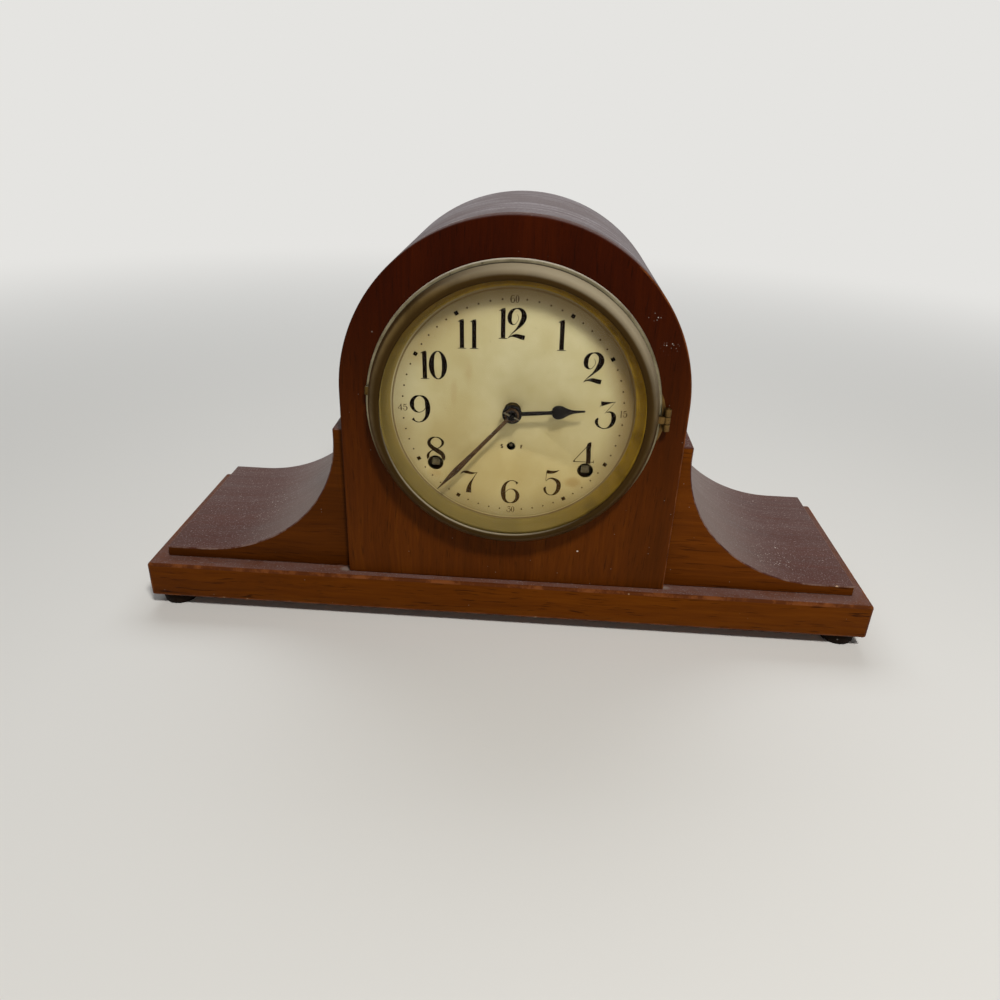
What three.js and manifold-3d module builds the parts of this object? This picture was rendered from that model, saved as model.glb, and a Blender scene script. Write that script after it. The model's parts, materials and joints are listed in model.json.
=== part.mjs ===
import * as THREE from 'three';
import { mergeVertices } from 'three/addons/utils/BufferGeometryUtils.js';
import Module from 'manifold-3d';

const wasm = await Module();
wasm.setup();

// A tambour mantel clock with an eight-day striking movement, in millimetres.
// x runs along the front, y from front to back, z up; the origin is under the middle of the case.

// Fits
const runningGap = 0.3;
const flatGap = 0.3;
const rootDepth = 0.5;

// Case
const plinthLength = 397;
const plinthDepth = 120.5;
const plinthHeight = 20.5;
const plinthEdge = 1.5;
const footRadius = 9.5;
const footHeight = 7;
const footInset = 11.6;
const footEase = 1.2;
const bodyWidth = 172.6;
const bodySetback = 5;
const archSpring = 103.7;
const panelThickness = 9;
const wrapThickness = 7;
const wingSetback = 4.8;
const wingHeight = 82;
const wingEndInset = 8.5;
const wingToeLength = 20;
const wingToeHeight = 6;
const wingShoulder = 5.9;
const wingShoulderDrop = 5.5;

// Back board, door and its hinges
const boardThickness = 8;
const doorWidth = 104;
const doorSill = 14;
const doorGap = 0.8;
const backHingeHeight = 22;
const backHingeReach = 13;
const backHingeLeaf = 1;
const backKnuckleRadius = 1.9;
const backKnuckleLift = 0.2;
const backHingeRise = 24;
const backHingeSpacing = 48;
const knobRadius = 6.5;
const knobLength = 9;
const knobInset = 12;

// Dial and bezel, centred on the hands
const dialRise = 99;
const dialRadius = 62;
const dialThickness = 0.8;
const dialRimHeight = 1.2;
const dialRimWidth = 3.2;
const dialLedge = 4.5;
const handHole = 4.2;
const windingHole = 4;
const regulatorHole = 2.2;
const seatWidth = 9.8;
const seatThickness = 1.7;
const rimWidth = 6.8;
const rimHeight = 9;
const rimSheet = 1;
const rimInset = 2.4;
const glassThickness = 1.6;
const glassRise = 5.4;
const glassInset = 3.2;
const glassRecess = 2.4;
const sightSheet = 0.9;
const sightDepth = 3.8;
const sightOverlap = 2.1;
const hingeLeafHeight = 26;
const hingeLeafReach = 3.4;
const hingeLeafThickness = 1;
const hingeOffset = 4.1;
const knuckleRadius = 1.7;
const knuckleLength = 3.6;
const hingePinRadius = 0.8;
const strapThickness = 1.9;
const tabWidth = 4.6;
const tabReach = 1.6;
const tabTurn = 6;

// Hands
const hourHandLength = 35.4;
const hourHandWidth = 6.8;
const hourHandAngle = 84.5;
const minuteHandLength = 55.2;
const minuteHandWidth = 2.9;
const minuteHandAngle = 221.1;
const handThickness = 0.8;
const hourHandLift = 5;
const handSpacing = 0.8;
const hourBoss = 4.8;
const minuteBoss = 3.4;
const washerThickness = 0.5;
const handPinRadius = 0.45;
const handPinLength = 8.5;
const handPinGap = 0.15;
const handPinTilt = 25;
const centreShaft = 2;
const centreShaftEnd = 0.7;
const hourPipeOuter = 3.6;
const hourPipeTip = 2.9;
const minuteTip = 1.3;

// Movement frame
const movementFoot = 4.75;
const plateThickness = 1.5;
const plateGap = 32;
const plateHalfWidth = 62;
const plateTopHalfWidth = 50;
const plateTop = 52;
const plateBottom = 54;
const plateShoulderLow = -4;
const plateShoulderHigh = 12;
const pillarInset = 4.5;
const pillarRadius = 2.5;
const footPostRadius = 3.5;
const pivotRadius = 0.8;

// Winding arbors
const winderSpacing = 76.2;
const winderDrop = 30.2;
const winderRadius = 3;
const winderSquare = 4;
const winderRecess = 1.5;
const winderPivot = 1.2;
const ratchetTeeth = 12;
const ratchetRadius = 9;
const ratchetDepth = 1.2;
const ratchetRake = 0.05;
const ratchetGap = 0.5;
const winderCollar = 1;
const clickLength = 7;
const clickOffset = 1;
const clickHead = 2;
const clickNose = 1.4;
const clickGap = 0.6;
const clickStudRadius = 0.9;
const springWidth = 17.9;
const springStrip = 0.5;
const springTurns = 4;

// Trains: teeth, and modules of each pair
const greatTeeth = 36;
const greatModule = 1.26;
const secondLeaves = 9;
const secondTeeth = 30;
const secondModule = 1.08;
const centreLeaves = 10;
const centreTeeth = 63;
const centreModule = 0.5;
const thirdLeaves = 6;
const thirdTeeth = 63;
const thirdModule = 0.45;
const escapeLeaves = 6;
const escapeTeeth = 48;
const escapeRadius = 10;
const escapeDepth = 1.5;
const escapeRake = 0.375;
const escapeThickness = 0.9;
const vergeRise = 13.55;
const vergeClearance = 1.2;
const cannonLeaves = 8;
const minuteWheelTeeth = 24;
const cannonModule = 0.75;
const minuteWheelLeaves = 6;
const hourWheelTeeth = 24;
const pinWheelLeaves = 6;
const pinWheelTeeth = 36;
const pinWheelModule = 0.83;
const pinCount = 15;
const pinCircle = 13;
const warningLeaves = 6;
const warningTeeth = 30;
const warningModule = 0.66;
const flyLeaves = 6;
const flyRadius = 9;
const flyBlade = 11.5;
const flyThickness = 0.8;

// Directions from one arbor to the next, in degrees anticlockwise from +x
const thirdBearing = 120;
const minuteWheelBearing = 135;
const pinWheelBearing = 50;
const warningBearing = 105;
const flyBearing = 130;

// Tooth form, in modules and in shares of the pitch
const wheelAddendum = 0.85;
const wheelDedendum = 1.15;
const wheelTip = 0.16;
const pointedModule = 1.1;
const leafAddendum = 0.55;
const leafDedendum = 1.25;
const leafRoot = 0.25;
const wheelThickness = 1.2;
const greatThickness = 2;
const leafOverhang = 1.4;
const stoutArbor = 1.5;
const slimArbor = 0.9;
const greatRim = 3.5;
const greatArm = 3;
const greatHub = 14;
const hubWall = 2;
const secondRim = 3;
const secondArm = 2.2;
const secondHub = 4.5;
const strikePinRadius = 0.6;
const strikePinLength = 1.8;
const countBlows = 90;
const countNotchBlows = 1.4;
const countInset = 3;
const countNotch = 2.6;
const vergeBand = 1.3;
const vergeHub = 2;
const vergeSpan = 42;
const palletDrop = 0.8;

// Places along the arbors, from the plates' inner faces
const frontWheelFront = 1;
const springFront = 4.5;
const flyFront = 5;
const thirdWheelFront = 7;
const centreWheelFront = 15;
const warningWheelFront = 18;
const greatWheelBack = 4.5;
const countWheelGap = 1;
const escapeWheelBack = 3.1;

// Motion work, measured forward from the front plate
const cannonLength = 3.4;
const minuteWheelLift = 1.8;
const minuteStudRadius = 0.7;
const minuteStudLength = 8;
const hourWheelLift = 5.3;
const minuteLeafOverhang = 0.4;

// Pendulum and regulator
const pendulumPlane = 10.5;
const pendulumLength = 115.5;
const pendulumRodRadius = 0.9;
const bobRadius = 15;
const bobThickness = 9;
const suspensionRise = 7.6;
const suspensionWidth = 5;
const suspensionStrip = 0.4;
const suspensionDrop = 6;
const suspensionPostRadius = 2;
const suspensionPostEnd = 0.5;
const crutchHalf = 0.6;
const crutchThickness = 1.2;
const crutchDrop = 27;
const crutchClear = 1;
const forkGap = 0.5;
const forkWall = 0.9;
const forkHeight = 1;
const rodBelowBob = 7;
const ratingNutRadius = 3.2;
const ratingNutHeight = 2.4;
const regulatorDrop = 19;
const regulatorRadius = 1.5;
const regulatorLeaves = 8;
const regulatorModule = 0.6;
const slideThickness = 1.2;
const slideWidth = 6;
const slideTravel = 2.6;
const slideHead = 9;
const slideShoulder = 14;
const slideOverhang = 1.5;
const rackTeeth = 5;
const guideRadius = 0.8;
const guideStand = 0.5;
const jawReach = 4.2;
const jawWall = 1.5;
const jawOpening = 0.9;
const jawHeight = 3;
const staffSlotHalf = 1.8;
const staffSlotEnd = 1.6;
const regulatorSquare = 2;
const regulatorSquareLength = 4;
const regulatorEnd = 0.4;

// Hammer and gong
const hammerX = -47;
const hammerZ = -2;
const hammerRadius = 1.2;
const hammerWire = 1;
const hammerShaftEnd = 6;
const hammerCollar = 1;
const hammerTailGap = 0.8;
const hammerTailRoot = 2;
const hammerTailTip = 0.6;
const hammerTailThickness = 1;
const hammerHeadX = -14;
const hammerHeadZ = -10;
const hammerHeadRadius = 4;
const hammerHeadLength = 9;
const hammerHeadEase = 0.6;
const hammerPadRadius = 2.6;
const hammerPadLength = 1.8;
const gongPlane = 30.75;
const gongRadius = 36;
const gongPitch = 6.5;
const gongTurns = 4;
const gongWire = 1.3;
const gongSetback = 5;
const gongBlockDepth = 14;
const gongBlockWidth = 28;
const gongBlockFoot = 5;
const gongBlockSlope = 7;
const gongNeckWidth = 8;
const gongNeckFlare = 2;
const gongLugWidth = 3.4;
const gongLugHeight = 3;
const gongLugLip = 1.5;
const hammerGap = 0.8;

// Places worked out from the sizes above
const frontOfCase = -plinthDepth / 2 + bodySetback;
const backOfCase = plinthDepth / 2;
const plinthTop = footHeight + plinthHeight;
const panelBack = frontOfCase + panelThickness;
const dialZ = plinthTop + dialRise;
const frontPlateFront = panelBack + movementFoot;
const frontPlateBack = frontPlateFront + plateThickness;
const backPlateFront = frontPlateBack + plateGap;
const backPlateBack = backPlateFront + plateThickness;
const arborFront = frontPlateBack + flatGap;
const arborBack = backPlateFront - flatGap;
const pivotHole = pivotRadius + runningGap;

const ahead = (distance) => frontOfCase - distance;
const inside = (distance) => frontPlateBack + distance;
const fromBack = (distance) => backPlateFront - distance;
const behind = (distance) => backPlateBack + distance;
const radians = THREE.MathUtils.degToRad;

// Finishes
const finish = (color, roughness, metalness) =>
  new THREE.MeshStandardMaterial({ color, roughness, metalness });
const mahogany = () => finish(0x5a2614, 0.45, 0);
const darkMahogany = () => finish(0x431a10, 0.45, 0);
const blackFoot = () => finish(0x1c1512, 0.8, 0);
const antiqueBrass = () => finish(0x8d8157, 0.42, 0.9);
const giltBrass = () => finish(0xb8953f, 0.3, 1);
const brass = () => finish(0xa98a43, 0.38, 1);
const steel = () => finish(0x85878a, 0.35, 1);
const blackSteel = () => finish(0x1f1a15, 0.5, 0.4);
const iron = () => finish(0x2d2c2b, 0.7, 0.6);
const creamDial = () => finish(0xc2b27a, 0.55, 0.1);
function clearGlass() {
  const glass = finish(0xdfe8e4, 0.05, 0);
  glass.transparent = true;
  glass.opacity = 0.25;
  return glass;
}

// Solids
function solidOf(geometry) {
  const bare = geometry.index ? geometry.toNonIndexed() : geometry.clone();
  bare.deleteAttribute('normal');
  bare.deleteAttribute('uv');
  const merged = mergeVertices(bare, 1e-4);
  const corners = merged.index.array;
  const kept = [];
  for (let i = 0; i < corners.length; i += 3) {
    const [a, b, c] = corners.slice(i, i + 3);
    if (a !== b && b !== c && c !== a) kept.push(a, b, c);
  }
  const vertProperties = new Float32Array(merged.attributes.position.array);
  return new wasm.Manifold(new wasm.Mesh({ numProp: 3, vertProperties, triVerts: new Uint32Array(kept) }));
}

function geometryOf(solid) {
  const mesh = solid.getMesh();
  const geometry = new THREE.BufferGeometry();
  geometry.setAttribute('position', new THREE.BufferAttribute(new Float32Array(mesh.vertProperties), 3));
  geometry.setIndex(new THREE.BufferAttribute(new Uint32Array(mesh.triVerts), 1));
  geometry.computeVertexNormals();
  return geometry;
}

const joined = (...pieces) => geometryOf(pieces.map(solidOf).reduce((whole, piece) => whole.add(piece)));

function cut(body, ...tools) {
  const left = tools.map(solidOf).reduce((rest, tool) => rest.subtract(tool), solidOf(body));
  return geometryOf(left);
}

// A flat piece: an outline in x and z, thick along y.
function slab(shape, yFront, yBack) {
  const geometry = new THREE.ExtrudeGeometry(shape, { depth: yBack - yFront, bevelEnabled: false });
  return geometry.rotateX(Math.PI / 2).translate(0, yBack, 0);
}

// A turned piece: [radius, y] points revolved about the y axis.
function turned(profile, sides) {
  const ring = profile.map(([radius, y]) => new THREE.Vector2(radius, y));
  if (THREE.ShapeUtils.area(ring) < 0) ring.reverse();
  const closed = ring[0].x > 0 ? [...ring, ring[0].clone()] : ring;
  return new THREE.LatheGeometry(closed, sides);
}

const rod = (radius, yFront, yBack, sides = 8) =>
  turned([[0, yFront], [radius, yFront], [radius, yBack], [0, yBack]], sides);

const tube = (inner, outer, yFront, yBack, sides = 12) =>
  turned([[inner, yFront], [outer, yFront], [outer, yBack], [inner, yBack]], sides);

const box = (x0, x1, y0, y1, z0, z1) =>
  new THREE.BoxGeometry(x1 - x0, y1 - y0, z1 - z0).translate((x0 + x1) / 2, (y0 + y1) / 2, (z0 + z1) / 2);

// A rod standing along z.
const post = (radius, x, y, z0, z1, sides = 10) =>
  rod(radius, z0, z1, sides).rotateX(Math.PI / 2).translate(x, y, 0);

const outline = (points) => new THREE.Shape(points.map(([x, z]) => new THREE.Vector2(x, z)));

function circle(radius, sides, x = 0, z = 0, Kind = THREE.Path) {
  const points = [];
  for (let i = 0; i < sides; i++) {
    const angle = (2 * Math.PI * i) / sides;
    points.push(new THREE.Vector2(x + radius * Math.cos(angle), z + radius * Math.sin(angle)));
  }
  return new Kind(points);
}

// An arched outline: straight sides from the foot to the spring, then a half circle.
function archPoints(halfWidth, foot, spring, sides = 24) {
  const points = [[-halfWidth, foot], [halfWidth, foot]];
  for (let i = 0; i <= sides; i++) {
    const angle = (Math.PI * i) / sides;
    points.push([halfWidth * Math.cos(angle), spring + halfWidth * Math.sin(angle)]);
  }
  return points;
}

// The scene graph: the case stands in the part's frame, the rest is centred on the hands.
const clock = new THREE.Group();
const caseGroup = new THREE.Group();
const dialGroup = new THREE.Group();
dialGroup.position.z = dialZ;
clock.add(caseGroup, dialGroup);

function place(group, name, geometry, material, at = { x: 0, z: 0 }) {
  const mesh = new THREE.Mesh(geometry, material);
  mesh.name = name;
  mesh.position.set(at.x, 0, at.z);
  group.add(mesh);
}

// Case
function plinth() {
  const halfLength = plinthLength / 2 - plinthEdge;
  const halfDepth = plinthDepth / 2 - plinthEdge;
  const board = outline([
    [-halfLength, -halfDepth],
    [halfLength, -halfDepth],
    [halfLength, halfDepth],
    [-halfLength, halfDepth],
  ]);
  const geometry = new THREE.ExtrudeGeometry(board, {
    depth: plinthHeight - 2 * plinthEdge,
    bevelThickness: plinthEdge,
    bevelSize: plinthEdge,
    bevelSegments: 2,
  });
  return geometry.translate(0, 0, footHeight + plinthEdge);
}

function foot() {
  const profile = [
    [0, 0],
    [footRadius - footEase, 0],
    [footRadius, footEase],
    [footRadius, footHeight],
    [0, footHeight],
  ];
  return turned(profile, 12).rotateX(Math.PI / 2);
}

function placeFeet() {
  const footX = plinthLength / 2 - footInset;
  const footY = plinthDepth / 2 - footInset;
  const corners = { front_left: [-1, -1], front_right: [1, -1], back_left: [-1, 1], back_right: [1, 1] };
  for (const [corner, [sideX, sideY]] of Object.entries(corners)) {
    const standing = foot().translate(sideX * footX, sideY * footY, 0);
    place(caseGroup, `foot_${corner}`, standing, blackFoot());
  }
}

// A wing: a flat toe, a hollow quarter-ellipse cove and a short shoulder against the body.
function wing(side) {
  const inner = bodyWidth / 2;
  const outer = plinthLength / 2 - wingEndInset;
  const coveFoot = outer - wingToeLength;
  const coveTop = wingHeight - wingShoulderDrop;
  const coveReach = coveFoot - inner - wingShoulder;
  const coveRise = coveTop - wingToeHeight;
  const points = [[inner, 0], [outer, 0], [outer, wingToeHeight]];
  const steps = 16;
  for (let i = 0; i <= steps; i++) {
    const angle = -Math.PI / 2 - ((Math.PI / 2) * i) / steps;
    points.push([coveFoot + coveReach * Math.cos(angle), coveTop + coveRise * Math.sin(angle)]);
  }
  points.push([inner + wingShoulder, wingHeight], [inner, wingHeight]);
  const profile = outline(points.map(([x, z]) => [side * x, z]));
  return slab(profile, frontOfCase + wingSetback, backOfCase).translate(0, 0, plinthTop);
}

function frontPanel() {
  const face = outline(archPoints(bodyWidth / 2, 0, archSpring));
  face.holes.push(circle(dialRadius - dialLedge, 36, 0, dialRise));
  return slab(face, frontOfCase, panelBack).translate(0, 0, plinthTop);
}

function archWrap() {
  const outer = archPoints(bodyWidth / 2, 0, archSpring).slice(1);
  const inner = archPoints(bodyWidth / 2 - wrapThickness, 0, archSpring).slice(1);
  const ends = [[-bodyWidth / 2, 0], [-bodyWidth / 2 + wrapThickness, 0]];
  const bent = outline([...outer, ...ends, ...inner.reverse()]);
  return slab(bent, panelBack, backOfCase).translate(0, 0, plinthTop);
}

function backBoard() {
  const halfWidth = bodyWidth / 2 - wrapThickness - runningGap;
  const board = outline(archPoints(halfWidth, 0, archSpring));
  board.holes.push(new THREE.Path(outline(archPoints(doorWidth / 2, doorSill, dialRise)).getPoints()));
  return slab(board, backOfCase - boardThickness, backOfCase).translate(0, 0, plinthTop);
}

function backDoor() {
  const halfWidth = doorWidth / 2 - doorGap;
  const door = outline(archPoints(halfWidth, doorSill + doorGap, dialRise));
  return slab(door, backOfCase - boardThickness, backOfCase).translate(0, 0, plinthTop);
}

const backHingeX = -doorWidth / 2 + doorGap / 2;
const backHingeY = backOfCase + backKnuckleRadius + backKnuckleLift;

// One leaf of a back hinge: the door's leaf has the middle knuckle, the fixed one the outer two and the pin.
function backHingeLeafPiece(side, knuckles, pinned) {
  const root = backKnuckleRadius + flatGap;
  const half = backHingeHeight / 2;
  const leafX = side > 0 ? [root, backHingeReach] : [-backHingeReach, -root];
  const pieces = [box(...leafX, backOfCase, backOfCase + backHingeLeaf, -half, half)];
  const bore = hingePinRadius + runningGap;
  for (const [z0, z1] of knuckles) {
    const barrel = pinned ? rod(backKnuckleRadius, z0, z1, 6) : tube(bore, backKnuckleRadius, z0, z1, 6);
    pieces.push(barrel.rotateX(Math.PI / 2).translate(0, backHingeY, 0));
    const strapFar = root + rootDepth;
    const strapX = side > 0 ? [bore, strapFar] : [-strapFar, -bore];
    pieces.push(box(...strapX, backOfCase + flatGap, backOfCase + backHingeLeaf, z0, z1));
  }
  if (pinned) pieces.push(post(hingePinRadius, 0, backHingeY, -half, half, 6));
  return joined(...pieces);
}

function placeBackHinges() {
  const third = backHingeHeight / 6;
  const half = backHingeHeight / 2;
  const outerKnuckles = [[-half, -third - flatGap / 2], [third + flatGap / 2, half]];
  const middleKnuckle = [[-third + flatGap / 2, third - flatGap / 2]];
  const lowZ = plinthTop + doorSill + backHingeRise;
  ['lower', 'upper'].forEach((level, i) => {
    const z = lowZ + i * backHingeSpacing;
    const fixedLeaf = backHingeLeafPiece(-1, outerKnuckles, true);
    const doorLeaf = backHingeLeafPiece(1, middleKnuckle, false);
    place(caseGroup, `back_hinge_leaf_${level}`, fixedLeaf, brass(), { x: backHingeX, z });
    place(caseGroup, `door_hinge_leaf_${level}`, doorLeaf, brass(), { x: backHingeX, z });
  });
}

function doorKnob() {
  const neck = knobRadius * 0.45;
  return turned(
    [
      [0, 0],
      [knobRadius * 0.8, 0],
      [neck, knobLength * 0.2],
      [neck, knobLength * 0.4],
      [knobRadius, knobLength * 0.65],
      [knobRadius * 0.7, knobLength * 0.93],
      [0, knobLength],
    ],
    12,
  ).translate(0, backOfCase, 0);
}

// Dial and bezel
const rimInner = dialRadius + rimInset;
const rimOuter = rimInner + rimWidth;
const rimBack = seatThickness + flatGap;
const rimFront = rimBack + rimHeight;
const glassRadius = rimOuter - rimSheet - glassInset;
const glassFront = rimFront - glassRecess;
const winderX = winderSpacing / 2;

function dial() {
  const flat = dialRadius - dialRimWidth;
  const rimTop = dialThickness + dialRimHeight;
  const disc = turned(
    [
      [0, ahead(0)],
      [dialRadius, ahead(0)],
      [dialRadius, ahead(rimTop)],
      [dialRadius - dialRimWidth / 3, ahead(rimTop)],
      [flat, ahead(dialThickness)],
      [0, ahead(dialThickness)],
    ],
    36,
  );
  const drill = (radius, sides, x, z) => rod(radius, ahead(rimTop + 1), ahead(-1), sides).translate(x, 0, z);
  return cut(
    disc,
    drill(handHole, 10, 0, 0),
    drill(windingHole, 12, -winderX, -winderDrop),
    drill(windingHole, 12, winderX, -winderDrop),
    drill(regulatorHole, 8, 0, -regulatorDrop),
  );
}

const seatInner = dialRadius + runningGap;
const seatOuter = seatInner + seatWidth;

function bezelSeat() {
  return turned(
    [
      [seatInner, ahead(0)],
      [seatOuter, ahead(0)],
      [seatOuter, ahead(seatThickness * 0.6)],
      [seatOuter - seatThickness * 0.4, ahead(seatThickness)],
      [seatInner, ahead(seatThickness)],
    ],
    36,
  );
}

const hingeX = rimOuter + hingeOffset;
const hingeAhead = hingeLeafThickness + knuckleRadius + flatGap;
const fixedKnuckles = [
  [-1.5 * knuckleLength - flatGap, -knuckleLength / 2 - flatGap],
  [knuckleLength / 2 + flatGap, 1.5 * knuckleLength + flatGap],
];

// The crescent leaf on the case front, with its two knuckles and the hinge pin.
function bezelHingeLeaf() {
  const innerRadius = seatOuter + runningGap;
  const half = hingeLeafHeight / 2;
  const hornX = Math.sqrt(innerRadius ** 2 - half ** 2);
  const bulge = innerRadius + hingeLeafReach - hornX;
  const outerRadius = (half ** 2 + bulge ** 2) / (2 * bulge);
  const outerCentre = hornX + bulge - outerRadius;
  const hornAngle = Math.atan2(half, hornX - outerCentre);
  const innerAngle = Math.atan2(half, hornX);
  const points = [];
  const steps = 10;
  for (let i = 0; i <= steps; i++) {
    const angle = hornAngle * ((2 * i) / steps - 1);
    points.push([outerCentre + outerRadius * Math.cos(angle), outerRadius * Math.sin(angle)]);
  }
  for (let i = 1; i < steps; i++) {
    const angle = innerAngle * (1 - (2 * i) / steps);
    points.push([innerRadius * Math.cos(angle), innerRadius * Math.sin(angle)]);
  }
  const pieces = [slab(outline(points), ahead(hingeLeafThickness), ahead(0))];
  for (const [z0, z1] of fixedKnuckles) {
    pieces.push(post(knuckleRadius, hingeX, ahead(hingeAhead), z0, z1, 8));
    const half = knuckleRadius * 0.7;
    const strap = [ahead(hingeAhead), ahead(hingeLeafThickness / 2)];
    pieces.push(box(hingeX - half, hingeX + half, ...strap, z0, z1));
  }
  pieces.push(post(hingePinRadius, hingeX, ahead(hingeAhead), fixedKnuckles[0][0], fixedKnuckles[1][1], 6));
  return joined(...pieces);
}

// The rolled bezel: a convex shell of thin brass, with its hinge knuckle and finger tab soldered on.
function bezelRim() {
  const sideTop = rimHeight * 0.36;
  const crownR = rimInner + rimWidth * 0.38;
  const shell = turned(
    [
      [rimOuter, ahead(rimBack)],
      [rimOuter, ahead(rimBack + sideTop)],
      [rimOuter - rimWidth * 0.14, ahead(rimBack + rimHeight * 0.68)],
      [rimOuter - rimWidth * 0.36, ahead(rimFront - rimHeight * 0.09)],
      [crownR, ahead(rimFront)],
      [rimInner, ahead(rimFront - rimHeight * 0.08)],
      [rimInner, ahead(rimFront - rimHeight * 0.08 - rimSheet)],
      [rimOuter - rimWidth * 0.48, ahead(rimFront - rimHeight * 0.1 - rimSheet)],
      [rimOuter - rimSheet, ahead(rimBack + sideTop)],
      [rimOuter - rimSheet, ahead(rimBack)],
    ],
    36,
  );
  const bore = hingePinRadius + runningGap;
  const half = knuckleLength / 2;
  const knuckle = tube(bore, knuckleRadius, -half, half, 8).rotateX(Math.PI / 2);
  const strapY = [ahead(rimBack + rootDepth + strapThickness), ahead(rimBack + rootDepth)];
  const strapEnd = hingeX - (bore + knuckleRadius) / 2;
  const strap = box(rimOuter - rimSheet, strapEnd, ...strapY, -half, half);
  const tabRoot = rimSheet / 2 - rimOuter;
  const tab = box(-rimOuter - tabReach, tabRoot, ...strapY, -tabWidth / 2, tabWidth / 2);
  tab.rotateY(radians(tabTurn));
  return joined(shell, knuckle.translate(hingeX, ahead(hingeAhead), 0), strap, tab);
}

// Domed glass of even thickness.
function bezelGlass() {
  const rings = 3;
  const front = [];
  const back = [];
  for (let i = 0; i <= rings; i++) {
    const radius = (glassRadius * (rings - i)) / rings;
    const rise = glassRise * (1 - (radius / glassRadius) ** 2);
    front.push([radius, ahead(glassFront + rise)]);
    back.unshift([radius, ahead(glassFront + rise - glassThickness)]);
  }
  return turned([...back, ...front], 32);
}

// The gilt sight ring: a flange under the glass and a cone running in to the dial's edge.
function sightRing() {
  const flangeFront = glassFront - glassThickness - flatGap;
  const flangeBack = flangeFront - sightSheet;
  const flangeOuter = glassRadius + glassThickness;
  const lip = dialRadius - sightOverlap;
  const coneBack = flangeFront - sightDepth;
  return turned(
    [
      [flangeOuter, ahead(flangeBack)],
      [flangeOuter, ahead(flangeFront)],
      [rimInner, ahead(flangeFront)],
      [lip, ahead(coneBack)],
      [lip + sightSheet, ahead(coneBack)],
      [rimInner + sightSheet, ahead(flangeBack)],
    ],
    36,
  );
}

// Hands
const hourHandBack = dialThickness + hourHandLift;
const minuteHandBack = hourHandBack + handThickness + handSpacing;
const washerBack = minuteHandBack + handThickness;
const handPinAhead = washerBack + washerThickness + handPinRadius + handPinGap;
const shaftTip = handPinAhead + handPinRadius + centreShaftEnd;

// A hand from shares of its length and half width, drawn to twelve and then turned to its hour.
function hand(stations, length, width, boss, bore, backAhead, angle) {
  const places = stations.map(([along, half]) => new THREE.Vector2(along * length, (half * width) / 2));
  const edge = new THREE.SplineCurve(places).getPoints(14);
  const right = edge.map((point) => [point.y, point.x]);
  const left = edge.map((point) => [-point.y, point.x]).reverse();
  const yFront = ahead(backAhead + handThickness);
  const blade = slab(outline([...right, ...left]), yFront, ahead(backAhead));
  const hub = rod(boss, yFront, ahead(backAhead), 16);
  const hole = rod(bore, yFront - 1, ahead(backAhead) + 1, 14);
  return cut(joined(blade, hub), hole).rotateY(radians(angle));
}

function hourHand() {
  const pear = [
    [0.1, 0.28],
    [0.5, 0.26],
    [0.56, 0.66],
    [0.63, 1],
    [0.7, 0.88],
    [0.77, 0.48],
    [0.86, 0.2],
    [1, 0.1],
  ];
  const bore = hourPipeTip + runningGap;
  return hand(pear, hourHandLength, hourHandWidth, hourBoss, bore, hourHandBack, hourHandAngle);
}

function minuteHand() {
  const lozenge = [[0.05, 0.62], [0.3, 0.65], [0.55, 0.76], [0.74, 1], [0.88, 0.52], [1, 0.1]];
  const bore = minuteTip + runningGap;
  return hand(lozenge, minuteHandLength, minuteHandWidth, minuteBoss, bore, minuteHandBack, minuteHandAngle);
}

function handWasher() {
  const yBack = ahead(washerBack);
  return tube(minuteTip + runningGap, minuteBoss * 0.85, ahead(washerBack + washerThickness), yBack, 10);
}

function handPin() {
  const half = handPinLength / 2;
  const across = rod(handPinRadius, -half, half, 6).rotateZ(Math.PI / 2);
  return across.rotateY(radians(handPinTilt)).translate(0, ahead(handPinAhead), 0);
}

// Arbors' places, from the dial's centre
const polar = (from, distance, bearing) => ({
  x: from.x + distance * Math.cos(radians(bearing)),
  z: from.z + distance * Math.sin(radians(bearing)),
});
const meshDistance = (teeth, leaves, module) => ((teeth + leaves) / 2) * module;

// Where circles about two arbors cross, on the upper side.
function crossing(a, radiusA, b, radiusB) {
  const dx = b.x - a.x;
  const dz = b.z - a.z;
  const apart = Math.hypot(dx, dz);
  const along = (apart ** 2 + radiusA ** 2 - radiusB ** 2) / (2 * apart);
  const aside = Math.sqrt(Math.max(radiusA ** 2 - along ** 2, 0));
  const side = dx > 0 ? 1 : -1;
  const x = a.x + (along * dx - side * aside * dz) / apart;
  const z = a.z + (along * dz + side * aside * dx) / apart;
  return { x, z };
}

const centre = { x: 0, z: 0 };
const timeWinder = { x: winderX, z: -winderDrop };
const strikeWinder = { x: -winderX, z: -winderDrop };
const regulator = { x: 0, z: -regulatorDrop };
const greatToSecond = meshDistance(greatTeeth, secondLeaves, greatModule);
const secondToCentre = meshDistance(secondTeeth, centreLeaves, secondModule);
const second = crossing(centre, secondToCentre, timeWinder, greatToSecond);
const third = polar(centre, meshDistance(centreTeeth, thirdLeaves, centreModule), thirdBearing);
const thirdToEscape = meshDistance(thirdTeeth, escapeLeaves, thirdModule);
const escape = { x: 0, z: third.z + Math.sqrt(thirdToEscape ** 2 - third.x ** 2) };
const verge = { x: 0, z: escape.z + vergeRise };
const motionDistance = meshDistance(minuteWheelTeeth, cannonLeaves, cannonModule);
const hourModule = (2 * motionDistance) / (hourWheelTeeth + minuteWheelLeaves);
const minuteStud = polar(centre, motionDistance, minuteWheelBearing);
const greatToPin = meshDistance(greatTeeth, pinWheelLeaves, greatModule);
const pinArbor = polar(strikeWinder, greatToPin, pinWheelBearing);
const warning = polar(pinArbor, meshDistance(pinWheelTeeth, warningLeaves, pinWheelModule), warningBearing);
const fly = polar(warning, meshDistance(warningTeeth, flyLeaves, warningModule), flyBearing);
const hammer = { x: hammerX, z: hammerZ };

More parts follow.
